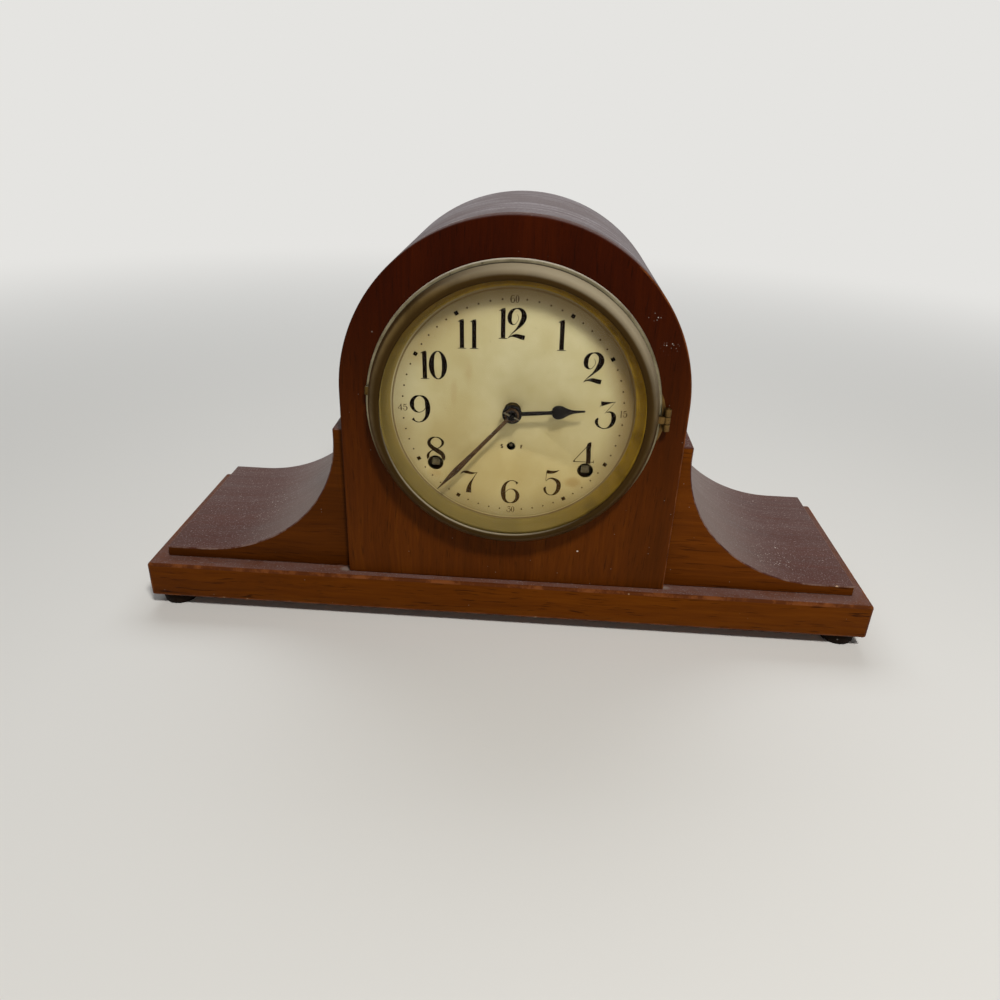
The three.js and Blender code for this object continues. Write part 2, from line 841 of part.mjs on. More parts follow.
// Teeth
// Angle of a follower's tooth that leaves a gap facing its driver's tooth on the line of centres.
function meshPhase(from, fromTeeth, fromPhase, to, toTeeth) {
  const bearing = Math.atan2(to.z - from.z, to.x - from.x);
  const pitches = ((fromPhase - bearing) * fromTeeth) / (2 * Math.PI);
  return bearing + Math.PI - ((pitches + 0.5) * 2 * Math.PI) / toTeeth;
}

// Wheel teeth have one root point between them and fine ones come to a point; pinion leaves stand apart.
function wheelOutline(teeth, module, phase) {
  const pitchRadius = (teeth * module) / 2;
  const tip = pitchRadius + wheelAddendum * module;
  const root = pitchRadius - wheelDedendum * module;
  const points = [];
  for (let i = 0; i < teeth; i++) {
    const at = (radius, share) => {
      const angle = phase + ((i + share) * 2 * Math.PI) / teeth;
      points.push([radius * Math.cos(angle), radius * Math.sin(angle)]);
    };
    if (module < pointedModule) at(tip, 0);
    else [-wheelTip, wheelTip].forEach((share) => at(tip, share));
    at(root, 0.5);
  }
  return outline(points);
}

function pinionOutline(leaves, module, phase) {
  const pitchRadius = (leaves * module) / 2;
  const tip = pitchRadius + leafAddendum * module;
  const root = pitchRadius - leafDedendum * module;
  const points = [];
  for (let i = 0; i < leaves; i++) {
    const at = (radius, share) => {
      const angle = phase + ((i + share) * 2 * Math.PI) / leaves;
      points.push([radius * Math.cos(angle), radius * Math.sin(angle)]);
    };
    at(root, -leafRoot);
    at(tip, 0);
    at(root, leafRoot);
  }
  return outline(points);
}

// Openings between a wheel's arms.
function crossOut(shape, arms, hub, rim, armWidth) {
  for (let i = 0; i < arms; i++) {
    const start = (2 * Math.PI * i) / arms;
    const end = (2 * Math.PI * (i + 1)) / arms;
    const rimTurn = Math.asin(armWidth / 2 / rim);
    const hubTurn = Math.asin(armWidth / 2 / hub);
    const opening = [];
    for (let step = 0; step <= 3; step++) {
      const angle = start + rimTurn + ((end - start - 2 * rimTurn) * step) / 3;
      opening.push(new THREE.Vector2(rim * Math.cos(angle), rim * Math.sin(angle)));
    }
    for (const angle of [end - hubTurn, (start + end) / 2, start + hubTurn]) {
      opening.push(new THREE.Vector2(hub * Math.cos(angle), hub * Math.sin(angle)));
    }
    shape.holes.push(new THREE.Path(opening));
  }
  return shape;
}

// An arbor between the plates with a pivot in each.
function arbor(radius, sides = 8) {
  return turned(
    [
      [0, frontPlateFront],
      [pivotRadius, frontPlateFront],
      [pivotRadius, arborFront],
      [radius, arborFront],
      [radius, arborBack],
      [pivotRadius, arborBack],
      [pivotRadius, backPlateBack],
      [0, backPlateBack],
    ],
    sides,
  );
}

// Phases, each train from its first wheel
const timeGreatPhase = 0;
const secondPinionPhase = meshPhase(timeWinder, greatTeeth, timeGreatPhase, second, secondLeaves);
const secondWheelPhase = 0;
const centrePinionPhase = meshPhase(second, secondTeeth, secondWheelPhase, centre, centreLeaves);
const centreWheelPhase = 0;
const thirdPinionPhase = meshPhase(centre, centreTeeth, centreWheelPhase, third, thirdLeaves);
const thirdWheelPhase = 0;
const escapePinionPhase = meshPhase(third, thirdTeeth, thirdWheelPhase, escape, escapeLeaves);
const cannonPhase = 0;
const minuteWheelPhase = meshPhase(centre, cannonLeaves, cannonPhase, minuteStud, minuteWheelTeeth);
const minuteLeafPhase = 0;
const hourWheelPhase = meshPhase(minuteStud, minuteWheelLeaves, minuteLeafPhase, centre, hourWheelTeeth);
const strikeGreatPhase = 0;
const pinPinionPhase = meshPhase(strikeWinder, greatTeeth, strikeGreatPhase, pinArbor, pinWheelLeaves);
const pinWheelPhase = 0;
const warningPinionPhase = meshPhase(pinArbor, pinWheelTeeth, pinWheelPhase, warning, warningLeaves);
const warningWheelPhase = 0;
const flyPinionPhase = meshPhase(warning, warningTeeth, warningWheelPhase, fly, flyLeaves);

// Movement frame
function plateOutline() {
  return outline([
    [-plateHalfWidth, -plateBottom],
    [plateHalfWidth, -plateBottom],
    [plateHalfWidth, plateShoulderLow],
    [plateTopHalfWidth, plateShoulderHigh],
    [plateTopHalfWidth, plateTop],
    [-plateTopHalfWidth, plateTop],
    [-plateTopHalfWidth, plateShoulderHigh],
    [-plateHalfWidth, plateShoulderLow],
  ]);
}

const pillarPlaces = [
  [-plateHalfWidth + pillarInset, -plateBottom + pillarInset],
  [plateHalfWidth - pillarInset, -plateBottom + pillarInset],
  [-plateTopHalfWidth + pillarInset, plateTop - pillarInset],
  [plateTopHalfWidth - pillarInset, plateTop - pillarInset],
];
const pivotArbors = [second, third, escape, verge, pinArbor, warning, fly, hammer];

function drilledPlate(holes) {
  const shape = plateOutline();
  for (const [at, radius, sides] of holes) shape.holes.push(circle(radius, sides, at.x, at.z));
  return shape;
}

// Front plate with its riveted mounting feet and the stud of the minute wheel.
function frontPlate() {
  const holes = pivotArbors.map((at) => [at, pivotHole, 6]);
  const winderHole = winderRadius + runningGap;
  holes.push([timeWinder, winderHole, 12], [strikeWinder, winderHole, 12]);
  holes.push([centre, centreShaft + runningGap, 10], [regulator, regulatorRadius + runningGap, 8]);
  const plate = slab(drilledPlate(holes), frontPlateFront, frontPlateBack);
  const rooted = frontPlateFront + rootDepth;
  const feet = pillarPlaces.map(([x, z]) => rod(footPostRadius, panelBack, rooted, 6).translate(x, 0, z));
  const stud = rod(minuteStudRadius, minuteStudTip, rooted, 8).translate(minuteStud.x, 0, minuteStud.z);
  return joined(plate, ...feet, stud);
}

// Back plate with its riveted pillars and the regulator's guide studs.
function backPlate() {
  const holes = pivotArbors.map((at) => [at, pivotHole, 6]);
  holes.push([timeWinder, winderPivot + runningGap, 8], [strikeWinder, winderPivot + runningGap, 8]);
  holes.push([centre, pivotHole, 8], [regulator, regulatorRadius + runningGap, 8]);
  const plate = slab(drilledPlate(holes), backPlateFront, backPlateBack);
  const pillarBack = backPlateFront + rootDepth;
  const pillars = pillarPlaces.map(([x, z]) =>
    rod(pillarRadius, frontPlateBack, pillarBack, 6).translate(x, 0, z),
  );
  const guideBack = behind(flatGap + slideThickness + guideStand);
  const guides = slideGuides.map((z) =>
    rod(guideRadius, backPlateBack - rootDepth, guideBack, 8).translate(slideMiddle, 0, z),
  );
  return joined(plate, ...pillars, ...guides);
}

// Winding arbor: pivot, barrel, ratchet and the square that the key turns.
function winder() {
  const ratchetBack = fromBack(greatWheelBack + greatThickness + ratchetGap);
  const collarFront = frontPlateFront - winderCollar;
  const barrel = turned(
    [
      [0, collarFront],
      [winderRadius, collarFront],
      [winderRadius, arborBack],
      [winderPivot, arborBack],
      [winderPivot, backPlateBack],
      [0, backPlateBack],
    ],
    8,
  );
  const half = winderSquare / 2;
  const square = box(-half, half, ahead(-winderRecess), frontPlateFront, -half, half);
  const points = [];
  for (let i = 0; i < ratchetTeeth; i++) {
    const angle = (2 * Math.PI * i) / ratchetTeeth;
    const inner = ratchetRadius - ratchetDepth;
    points.push([ratchetRadius * Math.cos(angle), ratchetRadius * Math.sin(angle)]);
    const heel = angle + (ratchetRake * 2 * Math.PI) / ratchetTeeth;
    points.push([inner * Math.cos(heel), inner * Math.sin(heel)]);
  }
  const ratchet = slab(outline(points), ratchetBack - wheelThickness, ratchetBack);
  return joined(barrel, square, ratchet);
}

const clickStud = { x: ratchetRadius + clickOffset, z: clickLength };

// Great wheel: crossed out, with a hub on the winding arbor and the click's stud.
function greatWheel(phase, side) {
  const front = fromBack(greatWheelBack + greatThickness);
  const back = fromBack(greatWheelBack);
  const rim = (greatTeeth * greatModule) / 2 - greatRim;
  const shape = crossOut(wheelOutline(greatTeeth, greatModule, phase), 4, greatHub, rim, greatArm);
  const wheel = slab(shape, front, back);
  const hub = rod(winderRadius + hubWall, front, fromBack(greatWheelBack - countWheelGap), 12);
  const studTip = front - wheelThickness - flatGap;
  const stud = rod(clickStudRadius, studTip, front + rootDepth, 8);
  stud.translate(side * clickStud.x, 0, clickStud.z);
  const bore = rod(winderRadius + runningGap, studTip, backPlateFront, 12);
  return cut(joined(wheel, hub, stud), bore);
}

const clickPlace = (winderPlace, side) => ({
  x: winderPlace.x + side * clickStud.x,
  z: winderPlace.z + clickStud.z,
});

// Click: a small pawl on the great wheel's stud, its nose standing just off the ratchet.
function click(side) {
  const front = fromBack(greatWheelBack + greatThickness) - wheelThickness;
  const noseX = ratchetRadius + clickGap - clickStud.x;
  const blade = outline(
    [
      [-clickHead * 0.8, clickHead],
      [clickHead, clickHead],
      [clickHead, -clickHead],
      [noseX + clickNose, -clickLength],
      [noseX, -clickLength],
      [-clickHead * 0.8, -clickHead],
    ].map(([x, z]) => [side * x, z]),
  );
  blade.holes.push(circle(clickStudRadius + runningGap, 8));
  return slab(blade, front, fromBack(greatWheelBack + greatThickness));
}

// Open mainspring: one strip winding out from the arbor to a corner pillar.
function spiralPath(startRadius, endRadius, turns, endAngle, stepsPerTurn) {
  const path = [];
  const steps = turns * stepsPerTurn;
  for (let i = 0; i <= steps; i++) {
    const share = i / steps;
    const angle = endAngle - 2 * Math.PI * turns * (1 - share);
    path.push({ radius: startRadius + (endRadius - startRadius) * share, angle });
  }
  return path;
}

function mainspring(at, pillar) {
  const reach = Math.hypot(pillar[0] - at.x, pillar[1] - at.z);
  const endAngle = Math.atan2(pillar[1] - at.z, pillar[0] - at.x);
  const inner = winderRadius + runningGap + springStrip / 2;
  const outer = reach - pillarRadius - runningGap - springStrip / 2;
  const path = spiralPath(inner, outer, springTurns, endAngle, 9);
  const half = springStrip / 2;
  const point = (radius, angle) => [radius * Math.cos(angle), radius * Math.sin(angle)];
  const outerSide = path.map(({ radius, angle }) => point(radius + half, angle));
  const innerSide = path.map(({ radius, angle }) => point(radius - half, angle));
  const strip = outline([...outerSide, ...innerSide.reverse()]);
  return slab(strip, inside(springFront), inside(springFront + springWidth));
}

// Time train
function secondWheel() {
  const shape = wheelOutline(secondTeeth, secondModule, secondWheelPhase);
  crossOut(shape, 4, secondHub, (secondTeeth * secondModule) / 2 - secondRim, secondArm);
  const wheel = slab(shape, inside(frontWheelFront), inside(frontWheelFront + wheelThickness));
  const leafFront = fromBack(greatWheelBack + greatThickness + leafOverhang);
  const leafBack = fromBack(greatWheelBack - leafOverhang);
  const pinion = slab(pinionOutline(secondLeaves, greatModule, secondPinionPhase), leafFront, leafBack);
  return joined(arbor(stoutArbor), wheel, pinion);
}

// Centre arbor: pinion and centre wheel behind the front plate, cannon pinion and hand seats before it.
function centreArbor() {
  const shaft = turned(
    [
      [0, ahead(shaftTip)],
      [minuteTip, ahead(shaftTip)],
      [minuteTip, ahead(minuteHandBack)],
      [centreShaft, ahead(minuteHandBack)],
      [centreShaft, arborBack],
      [pivotRadius, arborBack],
      [pivotRadius, backPlateBack],
      [0, backPlateBack],
    ],
    10,
  );
  const pinHole = rod(handPinRadius + runningGap, -centreShaft, centreShaft, 8).rotateZ(Math.PI / 2);
  pinHole.rotateY(radians(handPinTilt)).translate(0, ahead(handPinAhead), 0);
  const leaves = slab(
    pinionOutline(centreLeaves, secondModule, centrePinionPhase),
    arborFront,
    inside(frontWheelFront + wheelThickness + leafOverhang / 2),
  );
  const wheel = slab(
    wheelOutline(centreTeeth, centreModule, centreWheelPhase),
    inside(centreWheelFront),
    inside(centreWheelFront + wheelThickness),
  );
  const cannonShape = pinionOutline(cannonLeaves, cannonModule, cannonPhase);
  const cannon = slab(cannonShape, cannonFront, frontPlateFront - flatGap);
  return joined(cut(shaft, pinHole), leaves, wheel, cannon);
}

function thirdWheel() {
  const wheel = slab(
    wheelOutline(thirdTeeth, thirdModule, thirdWheelPhase),
    inside(thirdWheelFront),
    inside(thirdWheelFront + wheelThickness),
  );
  const pinion = slab(
    pinionOutline(thirdLeaves, centreModule, thirdPinionPhase),
    inside(centreWheelFront - leafOverhang),
    inside(centreWheelFront + wheelThickness + leafOverhang),
  );
  return joined(arbor(slimArbor, 6), wheel, pinion);
}

// Escape wheel: raked saw teeth.
function escapeWheel() {
  const points = [];
  for (let i = 0; i < escapeTeeth; i++) {
    const tipAngle = (2 * Math.PI * i) / escapeTeeth;
    const rootAngle = tipAngle + (escapeRake * 2 * Math.PI) / escapeTeeth;
    const root = escapeRadius - escapeDepth;
    points.push([escapeRadius * Math.cos(tipAngle), escapeRadius * Math.sin(tipAngle)]);
    points.push([root * Math.cos(rootAngle), root * Math.sin(rootAngle)]);
  }
  const wheelBack = fromBack(escapeWheelBack);
  const wheel = slab(outline(points), wheelBack - escapeThickness, wheelBack);
  const pinion = slab(
    pinionOutline(escapeLeaves, thirdModule, escapePinionPhase),
    inside(thirdWheelFront - leafOverhang),
    inside(thirdWheelFront + wheelThickness + leafOverhang),
  );
  return joined(arbor(slimArbor, 6), wheel, pinion);
}

// Verge: a bent strip straddling the escape wheel, and the crutch behind the back plate.
function vergePiece() {
  const bandIn = escapeRadius + vergeClearance + palletDrop;
  const bandOut = bandIn + vergeBand;
  const halfSpan = radians(vergeSpan);
  const points = [];
  const steps = 4;
  for (let i = 0; i <= steps; i++) {
    const angle = Math.PI / 2 - halfSpan + (2 * halfSpan * i) / steps;
    points.push([bandOut * Math.cos(angle), bandOut * Math.sin(angle) - vergeRise]);
  }
  const palletIn = escapeRadius + vergeClearance;
  for (let i = 0; i <= steps; i++) {
    const radius = i === 0 || i === steps ? palletIn : bandIn;
    const angle = Math.PI / 2 + halfSpan - (2 * halfSpan * i) / steps;
    points.push([radius * Math.cos(angle), radius * Math.sin(angle) - vergeRise]);
  }
  const anchorFront = fromBack(escapeWheelBack + escapeThickness + flatGap);
  const anchorBack = fromBack(escapeWheelBack - flatGap);
  const anchor = slab(outline(points), anchorFront, anchorBack);
  const hub = rod(vergeHub, anchorFront, anchorBack, 10);
  const staff = turned(
    [
      [0, frontPlateFront],
      [pivotRadius, frontPlateFront],
      [pivotRadius, arborFront],
      [slimArbor, arborFront],
      [slimArbor, arborBack],
      [pivotRadius, arborBack],
      [pivotRadius, crutchBack],
      [0, crutchBack],
    ],
    8,
  );
  const crutchFront = crutchBack - crutchThickness;
  const forkLow = -crutchDrop - forkHeight;
  const wire = box(-crutchHalf, crutchHalf, crutchFront, crutchBack, forkLow, crutchHalf);
  const forkNear = pendulumRodRadius + forkGap;
  const forkFar = forkNear + forkWall;
  const prongs = [[-forkFar, -forkNear], [forkNear, forkFar]];
  const fork = prongs.map(([x0, x1]) => box(x0, x1, crutchFront, forkBack, forkLow, -crutchDrop));
  const bridge = box(-forkFar, forkFar, crutchFront, crutchBack, forkLow, -crutchDrop);
  return joined(staff, hub, anchor, wire, bridge, ...fork);
}

// Motion work
const cannonFront = frontPlateFront - cannonLength;
const minuteWheelBack = frontPlateFront - minuteWheelLift;
const minuteStudTip = frontPlateFront - minuteStudLength;
const hourWheelBack = frontPlateFront - hourWheelLift;

function minuteWheel() {
  const wheel = slab(
    wheelOutline(minuteWheelTeeth, cannonModule, minuteWheelPhase),
    minuteWheelBack - wheelThickness,
    minuteWheelBack,
  );
  const leaves = slab(
    pinionOutline(minuteWheelLeaves, hourModule, minuteLeafPhase),
    hourWheelBack - wheelThickness - minuteLeafOverhang,
    minuteWheelBack - wheelThickness / 2,
  );
  const bore = rod(minuteStudRadius + runningGap, minuteStudTip - rootDepth, frontPlateFront, 8);
  return cut(joined(wheel, leaves), bore);
}

function hourWheel() {
  const wheel = slab(
    wheelOutline(hourWheelTeeth, hourModule, hourWheelPhase),
    hourWheelBack - wheelThickness,
    hourWheelBack,
  );
  const pipe = turned(
    [
      [0, ahead(hourHandBack + handThickness)],
      [hourPipeTip, ahead(hourHandBack + handThickness)],
      [hourPipeTip, ahead(hourHandBack)],
      [hourPipeOuter, ahead(hourHandBack)],
      [hourPipeOuter, hourWheelBack],
      [0, hourWheelBack],
    ],
    10,
  );
  const bore = rod(centreShaft + runningGap, ahead(shaftTip), hourWheelBack + rootDepth, 10);
  return cut(joined(wheel, pipe), bore);
}

// Strike train
function countWheel() {
  const points = [];
  const radius = (greatTeeth * greatModule) / 2 - countInset;
  const notch = radius - countNotch;
  const at = (distance, blow) => {
    const angle = (2 * Math.PI * blow) / countBlows;
    points.push([distance * Math.cos(angle), distance * Math.sin(angle)]);
  };
  let counted = 0;
  for (let hour = 1; hour <= 12; hour++) {
    at(notch, counted);
    const rise = counted + countNotchBlows;
    const land = hour + 1 - countNotchBlows;
    const steps = Math.ceil(land / 5);
    at(notch, rise);
    for (let step = 0; step <= steps; step++) at(radius, rise + (land * step) / steps);
    counted += hour + 1;
  }
  const shape = outline(points);
  shape.holes.push(circle(winderRadius + runningGap, 12));
  const front = fromBack(greatWheelBack - countWheelGap);
  return slab(shape, front, front + wheelThickness);
}

function pinWheel() {
  const front = inside(frontWheelFront);
  const back = inside(frontWheelFront + wheelThickness);
  const pins = [];
  for (let i = 0; i < pinCount; i++) {
    const angle = (2 * Math.PI * i) / pinCount;
    const pin = rod(strikePinRadius, front + rootDepth, back + strikePinLength, 3);
    pins.push(pin.translate(pinCircle * Math.cos(angle), 0, pinCircle * Math.sin(angle)));
  }
  const wheel = slab(wheelOutline(pinWheelTeeth, pinWheelModule, pinWheelPhase), front, back);
  const pinion = slab(
    pinionOutline(pinWheelLeaves, greatModule, pinPinionPhase),
    fromBack(greatWheelBack + greatThickness + leafOverhang),
    fromBack(greatWheelBack - leafOverhang),
  );
  return joined(arbor(stoutArbor), wheel, pinion, ...pins);
}

function warningWheel() {
  const wheel = slab(
    wheelOutline(warningTeeth, warningModule, warningWheelPhase),
    inside(warningWheelFront),
    inside(warningWheelFront + wheelThickness),
  );
  const pinion = slab(
    pinionOutline(warningLeaves, pinWheelModule, warningPinionPhase),
    arborFront,
    inside(frontWheelFront + wheelThickness + leafOverhang / 2),
  );
  return joined(arbor(slimArbor, 6), wheel, pinion);
}

// Fly: two thin vanes on a fast arbor, the air brake of the strike.
function flyPiece() {
  const vaneFront = inside(flyFront);
  const half = flyThickness / 2;
  const vane = box(-flyRadius, flyRadius, vaneFront, vaneFront + flyBlade, -half, half);
  const pinion = slab(
    pinionOutline(flyLeaves, warningModule, flyPinionPhase),
    inside(warningWheelFront - leafOverhang / 2),
    inside(warningWheelFront + wheelThickness + leafOverhang / 2),
  );
  return joined(arbor(slimArbor, 6), vane, pinion);
}

// Pendulum and regulator
const pendulumY = behind(pendulumPlane);
const crutchBack = behind(pendulumPlane - suspensionWidth / 2 - crutchClear);
const forkBack = pendulumY + pendulumRodRadius + forkWall;
const suspensionTop = verge.z + suspensionRise;
const bobZ = verge.z - pendulumLength;

function suspensionPost() {
  return rod(suspensionPostRadius, backPlateBack, pendulumY + suspensionWidth / 2 + suspensionPostEnd, 10);
}

function suspensionSpring() {
  const top = suspensionTop - suspensionPostRadius - flatGap;
  const half = suspensionStrip / 2;
  const depth = suspensionWidth / 2;
  return box(-half, half, pendulumY - depth, pendulumY + depth, verge.z - suspensionDrop, top);
}

function pendulumRod() {
  const low = bobZ - bobRadius - rodBelowBob;
  return post(pendulumRodRadius, 0, pendulumY, low, verge.z - suspensionDrop - flatGap, 8);
}

// Lens-shaped bob, bored for the rod.
function pendulumBob() {
  const half = bobThickness / 2;
  const lens = turned(
    [
      [0, -half],
      [bobRadius * 0.55, -half * 0.8],
      [bobRadius, -half * 0.12],
      [bobRadius, half * 0.12],
      [bobRadius * 0.55, half * 0.8],
      [0, half],
    ],
    20,
  ).translate(0, pendulumY, bobZ);
  const reach = bobRadius + rootDepth;
  const bore = post(pendulumRodRadius + runningGap, 0, pendulumY, bobZ - reach, bobZ + reach, 8);
  return cut(lens, bore);
}

function ratingNut() {
  const top = bobZ - bobRadius - flatGap;
  const collar = tube(pendulumRodRadius + runningGap, ratingNutRadius, top - ratingNutHeight, top, 10);
  return collar.rotateX(Math.PI / 2).translate(0, pendulumY, 0);
}

const regulatorPitch = (regulatorLeaves * regulatorModule) / 2;
const slideInner = regulatorPitch + wheelDedendum * regulatorModule;
const slideMiddle = slideInner + slideWidth / 2;
const slideGuides = [verge.z * 0.1, verge.z * 0.65];
const regulatorTip = ahead(-winderRecess);
const slideTop = suspensionTop - suspensionPostRadius - slideTravel - flatGap;

// Regulator arbor: a square for a small key under the hands, and a pinion behind the back plate.
function regulatorArbor() {
  const gearFront = behind(flatGap);
  const gearBack = gearFront + slideThickness;
  const squareBack = regulatorTip + regulatorSquareLength;
  const staff = rod(regulatorRadius, squareBack, gearBack + regulatorEnd, 8);
  const half = regulatorSquare / 2;
  const square = box(-half, half, regulatorTip, squareBack + rootDepth, -half, half);
  const pinion = slab(pinionOutline(regulatorLeaves, regulatorModule, 0), gearFront, gearBack);
  return joined(staff, square, pinion);
}

// Regulator slide: a rack that lifts the slotted jaws on the suspension spring.
function regulatorSlide() {
  const pitch = Math.PI * regulatorModule;
  const tip = regulatorPitch - wheelAddendum * regulatorModule;
  const low = regulator.z - rackTeeth * pitch;
  const slideLeft = -slideInner - slideOverhang;
  const points = [[slideInner + slideWidth, low], [slideInner + slideWidth, slideTop], [slideLeft, slideTop]];
  points.push([slideLeft, slideTop - slideHead], [slideInner, slideTop - slideShoulder]);
  for (let i = rackTeeth; i >= -rackTeeth + 1; i--) {
    const z = regulator.z + (i - 0.5) * pitch;
    points.push([slideInner, z + 0.5 * pitch]);
    points.push([tip, z + wheelTip * pitch]);
    points.push([tip, z - wheelTip * pitch]);
  }
  points.push([slideInner, low]);
  const shape = outline(points);
  const slotHalf = guideRadius + runningGap;
  for (const z of slideGuides) {
    const slot = [];
    for (const [x, dz] of [[-1, -1], [1, -1], [1, 1], [-1, 1]]) {
      slot.push(new THREE.Vector2(slideMiddle + x * slotHalf, z + dz * (slideTravel + slotHalf)));
    }
    shape.holes.push(new THREE.Path(slot));
  }
  const yFront = behind(flatGap);
  const plate = slab(shape, yFront, yFront + slideThickness);
  const slotReach = slideTravel + staffSlotEnd;
  const slotDepth = [yFront - rootDepth, yFront + slideThickness + rootDepth];
  const slotZ = [verge.z - slotReach, verge.z + slotReach];
  const staffSlot = box(-staffSlotHalf, staffSlotHalf, ...slotDepth, ...slotZ);
  const jawFront = pendulumY - suspensionWidth / 2 + flatGap;
  const jawBack = pendulumY + suspensionWidth / 2;
  const jawZ = [verge.z - jawHeight / 2, verge.z + jawHeight / 2];
  const jaws = [-1, 1].flatMap((side) => {
    const armX = [side * (jawReach - jawWall), side * jawReach].sort((a, b) => a - b);
    const jawX = [side * jawOpening, side * jawReach].sort((a, b) => a - b);
    return [box(...armX, yFront + flatGap, jawBack, ...jawZ), box(...jawX, jawFront, jawBack, ...jawZ)];
  });
  return joined(cut(plate, staffSlot), ...jaws);
}

// Hammer: an arbor with a lifting tail between the plates and a bent wire behind them.
function wireAlong(points, radius, sides, steps) {
  const route = new THREE.CatmullRomCurve3(points.map(([x, y, z]) => new THREE.Vector3(x, y, z)));
  const section = circle(radius, sides, 0, 0, THREE.Shape);
  return new THREE.ExtrudeGeometry(section, { steps, extrudePath: route, bevelEnabled: false });
}

const headAway = Math.hypot(hammerHeadX - hammerX, hammerHeadZ - hammerZ);
const strikeUp = { x: -(hammerHeadZ - hammerZ) / headAway, z: (hammerHeadX - hammerX) / headAway };
const gongY = backOfCase - gongPlane;
const hammerBack = behind(hammerShaftEnd);

function hammerArbor() {
  const staff = turned(
    [
      [0, frontPlateFront],
      [pivotRadius, frontPlateFront],
      [pivotRadius, arborFront],
      [hammerRadius, arborFront],
      [hammerRadius, arborBack],
      [pivotRadius, arborBack],
      [pivotRadius, behind(hammerCollar)],
      [hammerRadius, behind(hammerCollar)],
      [hammerRadius, hammerBack],
      [0, hammerBack],
    ],
    8,
  );
  const toPins = Math.hypot(pinArbor.x - hammer.x, pinArbor.z - hammer.z) - pinCircle;
  const reach = toPins - strikePinRadius - hammerTailGap;
  const bearing = Math.atan2(pinArbor.z - hammer.z, pinArbor.x - hammer.x);
  const tailFront = inside(frontWheelFront + wheelThickness + rootDepth);
  const tailShape = outline([
    [0, -hammerTailRoot],
    [reach, -hammerTailTip],
    [reach, hammerTailTip],
    [0, hammerTailRoot],
  ]);
  const tail = slab(tailShape, tailFront, tailFront + hammerTailThickness).rotateY(-bearing);
  const dx = hammerHeadX - hammerX;
  const dz = hammerHeadZ - hammerZ;
  const along = (share, y) => [dx * share, y, dz * share];
  const run = gongY - hammerBack;
  const headShare = 1 - (hammerHeadRadius + runningGap) / headAway;
  const route = [
    along(0, hammerBack - hammerRadius),
    along(0.08, hammerBack + run * 0.2),
    along(0.35, gongY - run * 0.2),
    along(0.6, gongY),
    along(headShare, gongY),
  ];
  return joined(staff, tail, wireAlong(route, hammerWire, 5, 8));
}

// Hammer head: a brass cylinder whose narrow striking face looks down at the gong.
function hammerHead() {
  const half = hammerHeadLength / 2;
  const barrel = turned(
    [
      [0, -half],
      [hammerPadRadius, -half],
      [hammerPadRadius, -half + hammerPadLength],
      [hammerHeadRadius, -half + hammerPadLength],
      [hammerHeadRadius, half - hammerHeadEase],
      [hammerHeadRadius - hammerHeadEase, half],
      [0, half],
    ],
    10,
  );
  barrel.rotateX(Math.PI / 2);
  return barrel.rotateY(Math.atan2(strikeUp.x, strikeUp.z)).translate(0, gongY, 0);
}

// Gong: one steel wire wound in a flat spiral and gripped by an iron block on the plinth.
const gongDrop = gongRadius + gongWire + hammerGap + hammerHeadLength / 2;
const gong = { x: hammerHeadX - gongDrop * strikeUp.x, z: hammerHeadZ - gongDrop * strikeUp.z };
const gongInner = gongRadius - gongPitch * gongTurns;
const gongTail = 2 * gongWire;
const gongSteps = 12;

function gongPoints() {
  const path = spiralPath(gongRadius, gongInner, gongTurns, -Math.PI / 2, gongSteps);
  return path.map(({ radius, angle }) => [radius * Math.cos(angle), gongY, radius * Math.sin(angle)]);
}

// Least clear gap between turns, measured on the wire's points.
function leastGap(points, wire, skip) {
  let least = Infinity;
  points.forEach((a, i) => {
    for (let j = i + skip; j < points.length; j++) {
      const b = points[j];
      least = Math.min(least, Math.hypot(a[0] - b[0], a[1] - b[1], a[2] - b[2]) - 2 * wire);
    }
  });
  return least;
}

function gongCoil() {
  const route = gongPoints();
  console.log(`gong: least gap between turns ${leastGap(route, gongWire, gongSteps / 2).toFixed(2)} mm`);
  route.push([gongTail, gongY, -gongInner]);
  return wireAlong(route, gongWire, 5, gongTurns * gongSteps);
}

function gongBlock() {
  const lugX = gongTail + 2 * flatGap;
  const middle = lugX + gongNeckWidth / 2;
  const floor = -dialRise - gong.z;
  const top = gongLugHeight + gongWire - gongInner;
  const front = gongY + gongSetback;
  const neckFoot = floor + gongBlockFoot + gongBlockSlope;
  const halves = [
    [gongBlockWidth / 2, floor],
    [gongBlockWidth / 2, floor + gongBlockFoot],
    [gongNeckWidth / 2 + gongNeckFlare, neckFoot],
    [gongNeckWidth / 2, top],
  ];
  const right = halves.map(([x, z]) => [middle + x, z]);
  const left = halves.map(([x, z]) => [middle - x, z]).reverse();
  const stand = slab(outline([...right, ...left]), front, front + gongBlockDepth);
  const lugY = [gongY - gongWire - gongLugLip, front + rootDepth];
  const lugZ = [-gongInner - gongWire, -gongInner + gongLugHeight];
  return joined(stand, box(lugX, lugX + gongLugWidth, ...lugY, ...lugZ));
}

// Assembly
place(caseGroup, 'plinth', plinth(), mahogany());
placeFeet();
place(caseGroup, 'wing_left', wing(-1), mahogany());
place(caseGroup, 'wing_right', wing(1), mahogany());
place(caseGroup, 'front_panel', frontPanel(), darkMahogany());
place(caseGroup, 'arch_wrap', archWrap(), mahogany());
place(caseGroup, 'back_board', backBoard(), mahogany());
place(caseGroup, 'back_door', backDoor(), mahogany());
placeBackHinges();
place(caseGroup, 'door_knob', doorKnob(), brass(), { x: doorWidth / 2 - knobInset, z: dialZ });

